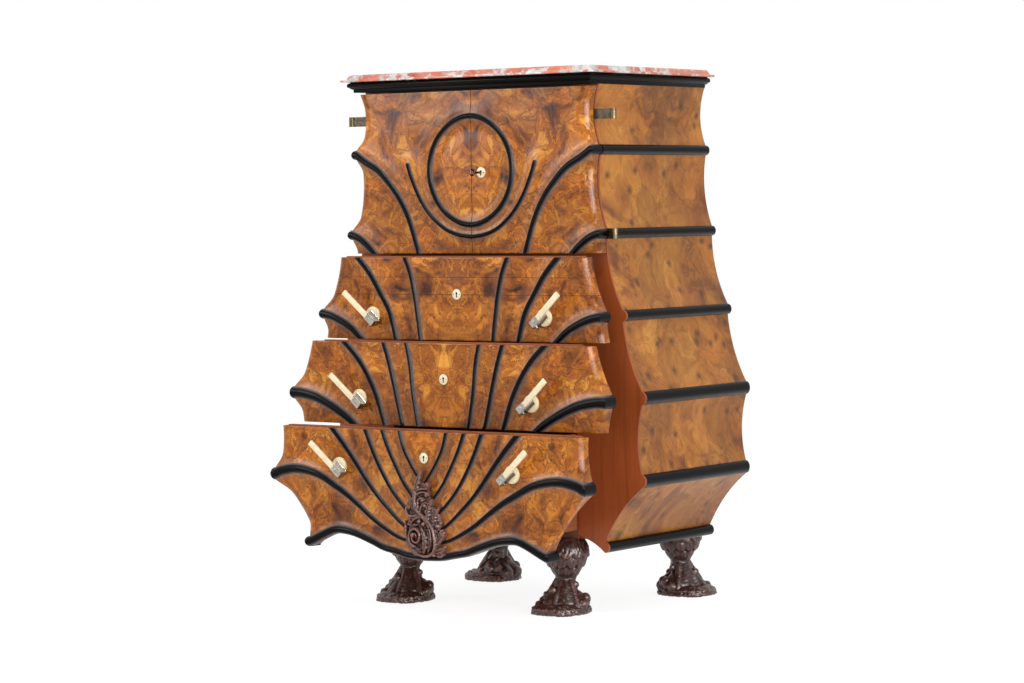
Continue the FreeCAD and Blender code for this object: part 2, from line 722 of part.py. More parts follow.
class Rib:
    """One black rib on the right half of a front board; the left half mirrors it.

    A station is (x, z, a, b): the rib's middle, and how far its upper left corner lies from
    there, a to the left and b up; its lower right corner lies as far the other way. Between
    stations it bulges upwards by a sag, or down where the sag is negative. A rib that
    continues a side moulding also turns round the board's edge, as a return.
    """

    def __init__(self, stations, sags, moulding=None):
        self.stations, self.sags, self.moulding = stations, sags, moulding

    def corners(self, side):
        """The rib's outline: along its upper edge, and back along its lower edge."""
        upper, lower = [], []
        last = len(self.stations) - 1
        for index, (x, z, a, b) in enumerate(self.stations):
            leaving = as_size(self.sags[index]) * -side if index < last else None
            arriving = as_size(self.sags[index - 1]) * side if index else None
            upper.append(((as_size(x) - a) * side, as_size(z) + b, leaving))
            lower.append(((as_size(x) + a) * side, as_size(z) - b, arriving))
        return upper + lower[::-1]


def moulding_station(index):
    """Where a side moulding meets the front's edge."""
    half, z, bead, below = MOULDINGS[index]
    return (half - d.proud, z, 0, bead / 2)


def rib_return(index, side, y_range):
    """The stretch of a rib that carries on along the board's edge towards the side."""
    half, z, bead, below = MOULDINGS[index]
    ground = (half - d.proud) * side
    corners = [(ground, z + bead / 2, d.proud * side), (ground, z - bead / 2, None)]
    return upright_pad("rib_return", corners, y_range)


def build_rib(rib, side, y_face, y_end):
    """One rib, fused with its return where it has one."""
    y_crest = y_face - d.rib_tall
    strip = upright_pad("rib", rib.corners(side), (y_crest, y_face))
    if rib.moulding is None:
        return strip
    return fuse("rib_and_return", [strip, rib_return(rib.moulding, side, (y_crest, y_end))])


def moulding_rib(index, stations, sags):
    """A rib that starts where a side moulding ends."""
    return Rib([moulding_station(index)] + stations, sags, index)


def door_ribs(low):
    return [
        moulding_rib(0, [(161, low, 7.6, 0)], [41]),
        moulding_rib(1, [(300, low, 14.6, 0)], [5]),
    ]


def drawer_one_ribs(low, high):
    return [
        Rib([(155, high, 7.6, 0), (111, low, 6.5, 0)], [7]),
        Rib([(304, high, 15.4, 0), (186, low, 7.7, 0)], [17]),
        moulding_rib(2, [(298, low, 13.5, 0)], [12]),
    ]


def drawer_two_ribs(low, high):
    return [
        Rib([(110, high, 6.6, 0), (76, low, 5.6, 0)], [1]),
        Rib([(180, high, 7.8, 0), (122, low, 6.6, 0)], [2]),
        Rib([(302, high, 15, 0), (180, low, 7.8, 0)], [17]),
        moulding_rib(3, [(276, low, 16.4, 0)], [17]),
    ]


def drawer_three_ribs(low, high):
    bead_half = d.tall_six / 3
    return [
        Rib([(71, high, 5.7, 0), (16, z_base + 154, 3.2, 2.5)], [-6]),
        Rib([(123, high, 6.8, 0), (30, z_base + 108, 3.3, 3.1)], [-10]),
        Rib([(175, high, 8, 0), (52, z_base + 76, 3.1, 3.3)], [-13]),
        Rib([(280, high, 12.8, 0), (50, z_base + 38, 2.8, 4.1)], [-15]),
        moulding_rib(4, [(316, z_base + d.up_five, 5.6, 10.6), (60, z_base + 4, 2.3, 5)],
                     [16, -4]),
        moulding_rib(5, [(d.belly_half, z_base - d.belly_rise + bead_half, 0, bead_half),
                         (0, low + bead_half, 0, bead_half)],
                     [d.arch_sag - bead_half / 2, -d.belly_sag / 4]),
    ]


# ---------------------------------------------------------------------------------------
# Doors
# ---------------------------------------------------------------------------------------
door_low = z_high + d.door_gap / 2
door_high = z_eaves - d.eaves_gap
y_door_face = y_front - d.veneer_face
y_door_back = y_front - d.door_back_gap
key_z = z_high + d.key_up


def ring_half(side):
    """Half of the ring: one arc from the seam round to the seam, outside and inside."""
    centre, gap, half_bead = z_high + d.ring_up, d.seam_half, d.ring_bead / 2
    outer, inner = d.ring_tall + half_bead, d.ring_tall - half_bead
    bulge_out = (d.ring_half + half_bead - gap) * side
    bulge_in = (d.ring_half - half_bead - gap) * -side
    corners = [
        (gap * side, centre + outer, bulge_out),
        (gap * side, centre - outer, None),
        (gap * side, centre - inner, bulge_in),
        (gap * side, centre + inner, None),
    ]
    return upright_pad("ring_half", corners, (y_door_face - d.rib_tall, y_door_face))


def cup_bead(side):
    """Half of the U-shaped bead below the ring, from its tip to the seam."""
    half_bead = d.cup_bead / 2
    rib = Rib([(d.cup_half, z_high + d.cup_up, half_bead * 0.95, half_bead * 0.3),
               (d.cup_turn, z_high + d.cup_turn_up, half_bead * 0.7, half_bead * 0.7),
               (d.seam_half, z_high + d.cup_low, 0, half_bead)],
              [-d.cup_side_sag, -d.cup_foot_sag])
    return upright_pad("cup_bead", rib.corners(side), (y_door_face - d.rib_tall, y_door_face))


def hinge_leaf(name, side, z_middle, y_range, ring_numbers):
    """A leaf with its share of the three rings; the leaf reaches out past the chest's edge."""
    low = z_middle - d.hinge_tall / 2
    ring = d.hinge_tall / 3
    axis_y = y_front - d.door_back_gap / 2
    shoulder = hinge_out - d.hinge_neck
    shapes = [span_box(name + "_leaf", mirrored(side, d.bay_half + d.hinge_land, shoulder), y_range,
                       (low, low + d.hinge_tall))]
    for number in ring_numbers:
        start, end = low + ring * number, low + ring * (number + 1)
        if number:
            start = start + d.ring_gap / 2
        if number < 2:
            end = end - d.ring_gap / 2
        shapes.append(span_box(name + "_arm", mirrored(side, shoulder, hinge_out), y_range,
                               (start, end)))
        shapes.append(cylinder(name + "_ring", hinge_out * side, axis_y, start,
                               d.hinge_round, end - start))
    bore = cylinder(name + "_bore", hinge_out * side, axis_y, low - PAST,
                    d.hinge_pin + d.pin_fit, d.hinge_tall + 2 * PAST)
    return cut(name, fuse(name + "_blank", shapes), [bore])


def build_hinges():
    heights = (z_high + d.hinge_high, z_high + d.up_two)
    axis_y = y_front - d.door_back_gap / 2
    case_leaves, pins = [], []
    for side, word in SIDES:
        door_leaves = []
        for z_middle in heights:
            case_leaves.append(hinge_leaf("case_hinge", side, z_middle,
                                          (y_front - d.hinge_leaf, y_front), (0, 2)))
            door_leaves.append(hinge_leaf("door_hinge", side, z_middle,
                                          (y_door_back, y_door_back + d.hinge_leaf), (1,)))
            pins.append(cylinder("hinge_pin", hinge_out * side, axis_y,
                                 z_middle - d.hinge_tall / 2, d.hinge_pin, d.hinge_tall))
        node(word + "_door_hinge_leaves", group(word + "_door_hinge_leaves", door_leaves))
    node("case_hinge_leaves", group("case_hinge_leaves", case_leaves))
    node("hinge_pins", group("hinge_pins", pins))


def build_door(side, word):
    x_range = mirrored(side, d.seam_half, d.half_four)
    panel = front_board(word + "_door", (y_door_face, y_door_back), (door_low, door_high),
                        x_range)
    if side == RIGHT:
        hole = cylinder("key_hole", d.key_side, y_door_face - PAST, key_z,
                        d.key_radius + d.key_play, d.veneer_face + 2 * PAST, "y")
        panel = cut(word + "_door_panel", panel, [hole])
    node(word + "_door_panel", panel)
    node(word + "_door_ring", ring_half(side))
    ribs = [build_rib(rib, side, y_door_face, y_door_back) for rib in door_ribs(door_low)]
    node(word + "_door_ribs", group(word + "_door_ribs", ribs + [cup_bead(side)]))


def build_door_lock():
    """Rim lock on the right door's back, its key plate, bolt and key, and the left keep."""
    x_low, x_high = d.lock_edge, d.lock_edge + d.lock_wide
    z_low_end, z_high_end = key_z - d.lock_low, key_z + d.lock_high
    y_far = y_door_back + d.lock_deep
    wall = d.lock_wall
    case = span_box("lock_case", (x_low, x_high), (y_door_back, y_far), (z_low_end, z_high_end))
    hollow = span_box("lock_hollow", (x_low + wall, x_high - wall),
                      (y_door_back + wall, y_far - wall), (z_low_end + wall, z_high_end - wall))
    bore = d.key_radius + d.key_play
    shank_hole = cylinder("shank_hole", d.key_side, y_door_back - PAST, key_z, bore,
                          wall + 2 * PAST, "y")
    bolt_z, bolt_y = key_z + d.bolt_up, y_door_back + d.bolt_deep
    play = d.bolt_play
    slot = span_box("bolt_slot", (x_low - PAST, x_low + wall + PAST),
                    (bolt_y - play, bolt_y + d.bolt_thick + play),
                    (bolt_z - play, bolt_z + d.bolt_tall + play))
    node("door_lock", cut("door_lock", case, [hollow, shank_hole, slot]))
    node("door_lock_bolt", span_box("door_lock_bolt", (x_low, x_low + d.bolt_long),
                                    (bolt_y, bolt_y + d.bolt_thick),
                                    (bolt_z, bolt_z + d.bolt_tall)))
    plate = cylinder("key_plate", d.key_side, y_door_face - d.plate_thick, key_z,
                     d.plate_round, d.plate_thick, "y")
    plate_hole = cylinder("plate_hole", d.key_side, y_door_face - d.plate_thick - PAST, key_z,
                          bore, d.plate_thick + 2 * PAST, "y")
    node("door_key_plate", cut("door_key_plate", plate, [plate_hole]))
    keep_wall = d.keep_wall
    keep_x = (-d.lock_edge - d.keep_wide, -d.lock_edge)
    keep = span_box("keep_block", keep_x,
                    (y_door_back, bolt_y + d.bolt_thick + keep_wall),
                    (bolt_z - keep_wall, bolt_z + d.bolt_tall + keep_wall))
    pocket = span_box("keep_pocket", (keep_x[0] + keep_wall, keep_x[1] + PAST),
                      (bolt_y - d.keep_play, bolt_y + d.bolt_thick + d.keep_play),
                      (bolt_z - d.keep_play, bolt_z + d.bolt_tall + d.keep_play))
    node("left_door_keep", cut("left_door_keep", keep, [pocket]))
    build_key()


def build_key():
    y_bow = y_door_face - d.key_reach
    y_tip = y_door_back + d.lock_deep - d.lock_wall - 1
    shank = cylinder("key_shank", d.key_side, y_bow, key_z, d.key_radius, y_tip - y_bow, "y")
    y_bit = y_tip - d.bit_wide
    bit = span_box("key_bit", (d.key_side - d.bit_thick / 2, d.key_side + d.bit_thick / 2),
                   (y_bit, y_tip), (key_z - d.bit_reach, key_z))
    bow = doc.addObject("Part::Torus", unique("key_bow_ring"))
    bow.setExpression("Radius1", d.key_bow.text)
    bow.setExpression("Radius2", d.key_wire.text)
    bow.Placement.Rotation = FreeCAD.Rotation(Y_AXIS, 90)
    place(bow, d.key_side, y_bow - d.key_bow + d.key_wire / 2, key_z)
    node("door_key", fuse("door_key", [shank, bit, bow]))


def build_shoot_bolts():
    """Two rods in guides on the left door's back, drawn back from the boards at rest."""
    x, y = -d.rod_side, y_front + d.rod_back
    top_end = z_eaves - d.board_thick - d.rod_rest
    bottom_end = z_high + half_board + d.rod_rest
    rods = (("left_door_top_bolt", top_end - d.rod_long),
            ("left_door_bottom_bolt", bottom_end))
    guides = []
    y_far = y + d.rod_radius + d.lock_wall
    for name, z_start in rods:
        rod = cylinder(name + "_rod", x, y, z_start, d.rod_radius, d.rod_long)
        z_knob = z_start + d.rod_long / 2
        knob = cylinder(name + "_knob", x, y, z_knob, d.knob_radius, d.knob_long, "y")
        node(name, fuse(name, [rod, knob]))
        for z_guide in (z_start + d.guide_in, z_start + d.rod_long - d.guide_in - d.guide_tall):
            block = span_box("guide_block", (x - d.guide_half, x + d.guide_half),
                             (y_door_back, y_far), (z_guide, z_guide + d.guide_tall))
            bore = cylinder("guide_bore", x, y, z_guide - PAST, d.rod_radius + d.rod_play,
                            d.guide_tall + 2 * PAST)
            guides.append(cut("guide", block, [bore]))
    node("left_door_bolt_guides", group("left_door_bolt_guides", guides))


# ---------------------------------------------------------------------------------------
# Drawers
# ---------------------------------------------------------------------------------------
def build_handles(number, y_face, z_rose):
    """Two mirrored handles: a rose, a stem with a saddle, and a bar that rises outwards."""
    creams, brackets = [], []
    y_rose = y_face - d.rose_thick
    y_bar = y_rose - d.stem_long
    for side, word in SIDES:
        x = d.handle_side * side
        creams.append(cylinder("rose", x, y_rose, z_rose, d.rose_round, d.rose_thick, "y"))
        # along local X from the stem outwards, then turned up to its slope
        reach = mirrored(side, -d.bar_heel, d.bar_long - d.bar_heel)
        bar = span_box("bar_blank", reach, (-d.bar_thick, 0), (-d.bar_wide / 2, d.bar_wide / 2))
        angle = -d.bar_angle * side
        creams.append(turned("bar", [bar], x, y_bar, z_rose, Y_AXIS, angle))
        stem = cylinder("stem", 0, 0, 0, d.stem_round, d.stem_long, "y")
        wall = d.saddle_wall
        outer = d.bar_wide / 2 + wall
        cheeks = [
            span_box("cheek", (-d.saddle_half, d.saddle_half), (-d.bar_thick, 0),
                     (outer - wall, outer)),
            span_box("cheek", (-d.saddle_half, d.saddle_half), (-d.bar_thick, 0),
                     (-outer, wall - outer)),
            span_box("bridge", (-d.saddle_half, d.saddle_half), (0, wall), (-outer, outer)),
        ]
        bracket = fuse("bracket_blank", [stem] + cheeks)
        brackets.append(turned("bracket", [bracket], x, y_bar, z_rose, Y_AXIS, angle))
    node("drawer_%d_handles" % number, group("drawer_%d_handles" % number, creams))
    node("drawer_%d_brackets" % number, group("drawer_%d_brackets" % number, brackets))


def build_drawer_lock(number, y_face, y_plane, z_keyhole, z_case_top):
    """A lock behind the backing board with its key plate on the face, and its bolt."""
    x_range = (-d.case_half, d.case_half)
    case = span_box("drawer_lock_case", x_range, (y_plane, y_plane + d.case_deep),
                    (z_keyhole - d.case_low, z_case_top))
    y_tongue = y_plane + d.tongue_front
    play = d.bolt_play
    slot = span_box("drawer_lock_slot", (-d.tongue_half - play, d.tongue_half + play),
                    (y_tongue - play, y_tongue + d.tongue_thick + play),
                    (z_case_top - d.tongue_tall - play, z_case_top + PAST))
    plate = cylinder("drawer_key_plate", 0, y_face - d.plate_thick, z_keyhole, d.plate_round,
                     d.plate_thick, "y")
    hole = cylinder("drawer_plate_hole", 0, y_face - d.plate_thick - PAST, z_keyhole,
                    d.keyhole, d.plate_thick + 2 * PAST, "y")
    name = "drawer_%d_lock" % number
    node(name, group(name, [cut("case_%d" % number, case, [slot]),
                            cut("plate_%d" % number, plate, [hole])]))
    name = "drawer_%d_bolt" % number
    node(name, span_box(name, (-d.tongue_half, d.tongue_half),
                        (y_tongue, y_tongue + d.tongue_thick),
                        (z_case_top - d.tongue_tall, z_case_top)))


def build_drawer(number, opening, z_board_low, z_board_high, z_floor, z_ceiling, key_down,
                 handle_down, ribs, carving=None):
    """A drawer standing open by its opening: front, backing, box, ribs, handles and lock.

    Where a carving lies on its face, the ribs end at the carving's outline.
    """
    y_plane = y_front - opening
    y_face = y_plane - d.veneer_face
    y_backing = y_plane - d.backing_thick
    z_keyhole = z_board_high - key_down
    below = PAST if carving else 0
    hole = cylinder("front_key_hole", 0, y_face - PAST, z_keyhole, d.keyhole,
                    d.veneer_face + PAST, "y")
    front = front_board("drawer_%d_front" % number, (y_face, y_backing),
                        (z_board_low - below, z_board_high))
    node("drawer_%d_front" % number, cut("drawer_%d_front_cut" % number, front, [hole]))
    backing = front_board("backing_%d" % number, (y_backing, y_plane),
                          (z_board_low - below, z_board_high + d.backing_lip))
    backing = cut("backing_%d_cut" % number, backing, [hole])
    z_bottom = z_floor + d.run_gap
    z_top = z_ceiling - d.head_gap
    y_end = y_plane + box_length
    inner = box_half - d.box_wall
    pieces = [backing]
    for side, word in SIDES:
        pieces.append(span_box("box_side", mirrored(side, inner, box_half),
                               (y_plane, y_end), (z_bottom, z_top)))
    pieces.append(span_box("box_back", (-inner, inner), (y_end - d.box_wall, y_end),
                           (z_bottom, z_top)))
    z_panel = z_bottom + d.bottom_raise
    pieces.append(span_box("box_panel", (-inner, inner), (y_plane, y_end - d.box_wall),
                           (z_panel, z_panel + d.box_bottom)))
    node("drawer_%d_box" % number, group("drawer_%d_box" % number, pieces))
    pieces = []
    for side, word in SIDES:
        for rib in ribs:
            piece = build_rib(rib, side, y_face, y_plane)
            pieces.append(cut("rib_end", piece, [carving]) if carving else piece)
    node("drawer_%d_ribs" % number, group("drawer_%d_ribs" % number, pieces))
    build_handles(number, y_face, z_board_high - handle_down)
    build_drawer_lock(number, y_face, y_plane, z_keyhole, z_ceiling - d.lock_head)


def build_carving():
    """A shield-shaped block of carving on the third drawer's face."""
    y_face = y_front - d.open_three - d.veneer_face
    foot, tip = z_base - d.carving_low, z_base + d.carving_high
    middle = z_base + d.carving_wide_up
    corners = [
        (ZERO, tip, d.carving_half / 8),
        (d.carving_half, middle, d.carving_half / 4),
        (ZERO, foot, d.carving_half / 4),
        (-d.carving_half, middle, d.carving_half / 8),
    ]
    carving = upright_pad("drawer_carving", corners, (y_face - d.carving_thick, y_face))
    node("drawer_carving", carving)
    doc.recompute()
    return carving


def build_drawers():
    gap = d.front_gap / 2
    low, high = z_mid + gap, z_high - d.door_gap / 2
    build_drawer(1, d.open_one, low, high, z_mid + half_board, z_high - half_board,
                 d.key_down_one, d.handle_down_one, drawer_one_ribs(low, high))
    low, high = z_low + gap, z_mid - gap
    build_drawer(2, d.open_two, low, high, z_low + half_board, z_mid - half_board,
                 d.key_down_two, d.handle_down_two, drawer_two_ribs(low, high))
    low, high = z_base - d.belly_rise - d.belly_sag, z_low - gap
    build_drawer(3, d.open_three, low, high, z_base + d.base_thick, z_low - half_board,
                 d.key_down_three, d.handle_down_three, drawer_three_ribs(low, high),
                 build_carving())


# ---------------------------------------------------------------------------------------
# Assembly and export
# ---------------------------------------------------------------------------------------
def check():
    """Stops if any object of the document failed, or a sub-part's shape isn't sound."""
    for obj in doc.Objects:
        if "Invalid" in obj.State or "Error" in obj.State:
            raise RuntimeError("%s (%s) is %s" % (obj.Name, obj.Label, obj.State))
    for obj in nodes:
        if obj.Shape.isNull() or not obj.Shape.isValid() or not obj.Shape.Solids:
            raise RuntimeError("%s has no sound shape" % obj.Label)


def export():
    os.makedirs("parts", exist_ok=True)
    for obj in nodes:
        obj.Shape.exportStep(os.path.join("parts", obj.Label + ".step"))
        size = obj.Shape.BoundBox
        print("%-24s %2d solids  %8.1f cm3  X %.1f..%.1f  Y %.1f..%.1f  Z %.1f..%.1f" % (
            obj.Label, len(obj.Shape.Solids), obj.Shape.Volume / 1000, size.XMin, size.XMax,
            size.YMin, size.YMax, size.ZMin, size.ZMax))


build_sides()
build_side_mouldings()
build_boards()
build_cupboard_fittings()
build_cornice()
build_stone()
build_feet()
build_hinges()
for door_side, door_word in SIDES:
    build_door(door_side, door_word)
build_door_lock()
build_shoot_bolts()
build_drawers()
doc.recompute()
check()
export()
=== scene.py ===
"""Bombe chest: how it looks, built around its construction.

The case, doors and drawers keep the places that the frame gives them. The scalloped sides, the
carved-out fronts between their black ribs, the stone, the paw feet and the carving are modelled
here as closed surfaces. Lengths are in metres; shapes are given in millimetres and turned by MM.
"""
import logging
import math
from dataclasses import dataclass, field
from enum import Enum

import bmesh
import bpy
import numpy as np
from bpy.types import ID, Material, Mesh, Node, NodeSocket, NodeTree, Object
from mathutils import Matrix, Vector


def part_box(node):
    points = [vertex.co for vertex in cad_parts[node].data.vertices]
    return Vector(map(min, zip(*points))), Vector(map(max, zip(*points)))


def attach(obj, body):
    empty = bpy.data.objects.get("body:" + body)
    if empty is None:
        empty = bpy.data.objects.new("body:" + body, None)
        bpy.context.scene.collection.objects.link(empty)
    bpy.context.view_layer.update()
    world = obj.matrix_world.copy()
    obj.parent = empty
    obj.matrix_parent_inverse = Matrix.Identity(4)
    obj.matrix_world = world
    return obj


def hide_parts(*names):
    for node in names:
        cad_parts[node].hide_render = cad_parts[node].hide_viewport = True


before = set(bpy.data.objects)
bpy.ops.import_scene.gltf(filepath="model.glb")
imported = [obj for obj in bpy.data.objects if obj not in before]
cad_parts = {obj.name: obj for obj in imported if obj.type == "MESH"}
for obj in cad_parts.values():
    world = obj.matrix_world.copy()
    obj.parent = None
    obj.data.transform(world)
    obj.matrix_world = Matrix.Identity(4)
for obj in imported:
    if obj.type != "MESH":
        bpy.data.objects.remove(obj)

MM = 0.001
Array = np.ndarray
LOG = logging.getLogger("chest")
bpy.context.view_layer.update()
BOTH = (-1, 1)
SIDES = ((-1, "left"), (1, "right"))


# ---- Finishes ----
def linear(colour: str) -> tuple:
    """Turns an sRGB hex colour into linear red, green, blue and a full alpha."""
    parts = [int(colour[place:place + 2], 16) / 255 for place in (1, 3, 5)]
    return tuple(c / 12.92 if c <= 0.04045 else ((c + 0.055) / 1.055) ** 2.4 for c in parts) + (1,)


def empty_tree(owner: ID) -> NodeTree:
    """Empties the node tree of a material or a world.

    Args:
        owner: the material or the world.
    Returns:
        Its node tree.
    """
    owner.use_nodes = True
    owner.node_tree.nodes.clear()
    return owner.node_tree


def add(tree: NodeTree, kind: str, links: dict | None = None, stops: tuple = (), **settings) -> Node:
    """Adds one node with its settings and what feeds it.

    Args:
        tree: the material's node tree.
        kind: the node's type, without the word ShaderNode, then its operation or, for a mix,
            what it mixes.
        links: for each input, by name or number, a node whose first live output feeds it, a
            socket that feeds it, a hex colour or a plain value.
        stops: for a colour ramp, its (place, hex colour) pairs.
        settings: the node's own properties.
    Returns:
        The new node.
    """
    kind, _, mode = kind.partition(" ")
    made = tree.nodes.new("ShaderNode" + kind)
    if mode:
        setattr(made, "data_type" if kind == "Mix" else "operation", mode)
    for key, value in settings.items():
        setattr(made, key, value)
    for key, value in (links or {}).items():
        if isinstance(value, Node):
            value = next(socket for socket in value.outputs if socket.enabled)
        if isinstance(value, NodeSocket):
            tree.links.new(value, made.inputs[key])
        else:
            made.inputs[key].default_value = linear(value) if isinstance(value, str) else value
    if stops:
        ramp = made.color_ramp
        while len(ramp.elements) < len(stops):
            ramp.elements.new(1.0)
        for element, (place, colour) in zip(ramp.elements, stops):
            element.position = place
            element.color = linear(colour)
    return made


def drift(tree: NodeTree, place: Node | NodeSocket, scale: float, reach: float) -> Node:
    """Moves a place about by cloud noise, so that what is drawn there swirls.

    Args:
        tree, place: the node tree, and the place that is moved.
        scale: the clouds are about 1 / scale metres across.
        reach: how far it moves, in metres.
    Returns:
        A node whose output is the moved place.
    """
    cloud = add(tree, "TexNoise", {"Vector": place, "Scale": scale, "Detail": 2})
    centred = add(tree, "VectorMath SUBTRACT", {0: cloud.outputs["Color"], 1: (0.5,) * 3})
    return add(tree, "VectorMath MULTIPLY_ADD", {0: centred, 1: (reach,) * 3, 2: place})


def patches(tree: NodeTree, place: Node | NodeSocket,
            scale: float, stops: tuple, **settings: float) -> Node:
    """Draws cloud noise in the colours of a ramp.

    Args:
        tree, place: the node tree, and where the clouds are drawn.
        scale: they are about 1 / scale metres across.
        stops: the ramp's (value, hex colour) pairs.
        settings: the noise's other inputs, such as Detail.
    Returns:
        The node whose output is the colour.
    """
    noise = add(tree, "TexNoise", {"Vector": place, "Scale": scale, **settings})
    return add(tree, "ValToRGB", {"Fac": noise}, stops=stops)


def band(centre: float, wide: float) -> tuple:
    """The stops of a ramp that is white at one value and black at wide to each side of it."""
    return (centre - wide, "#000000"), (centre, "#FFFFFF"), (centre + wide, "#000000")


def between(low: float, high: float) -> tuple:
    """The stops of a ramp that is black up to one value and white from another."""
    return (low, "#000000"), (high, "#FFFFFF")


@dataclass(frozen=True)
class Finish:
    """A finish: the fixed numbers of its shader, and a pattern that subclasses draw."""

    name: str
    colour: str
    roughness: float = 0.4
    metallic: float = 0.0
    gloss: float = 0.3       # specular level, where 0.5 reflects as plain varnish does
    bump: float = 0.0        # millimetres

    def make(self) -> Material:
        """Builds the material.

        Returns:
            A node material with the pattern of this finish.
        """
        made = bpy.data.materials.new(self.name)
        tree = empty_tree(made)
        place = add(tree, "TexCoord").outputs["Object"]
        colour, height, roughness = self.pattern(tree, place)
        links = {"Base Color": colour, "Metallic": self.metallic,
                 "Specular IOR Level": self.gloss,
                 "Roughness": self.roughness if roughness is None else roughness}
        if height is not None and self.bump:
            links["Normal"] = add(tree, "Bump", {"Height": height, "Strength": 1.0,
                                                 "Distance": self.bump * MM})
        add(tree, "OutputMaterial", {"Surface": add(tree, "BsdfPrincipled", links)})
        return made

    def pattern(self, tree: NodeTree, place: NodeSocket) -> tuple:
        """Draws a faint mottle, as fine wear gives any plain surface.

        Args:
            tree, place: the node tree, and the object's coordinates.
        Returns:
            What gives the colour, the height and the roughness; None where nothing does.
        """
        mottle = add(tree, "TexNoise", {"Vector": place, "Scale": 90, "Detail": 4})
        tint = add(tree, "Mix RGBA", {0: 0.12, 6: self.colour, 7: mottle},
                   blend_type="OVERLAY")
        return tint, mottle, None


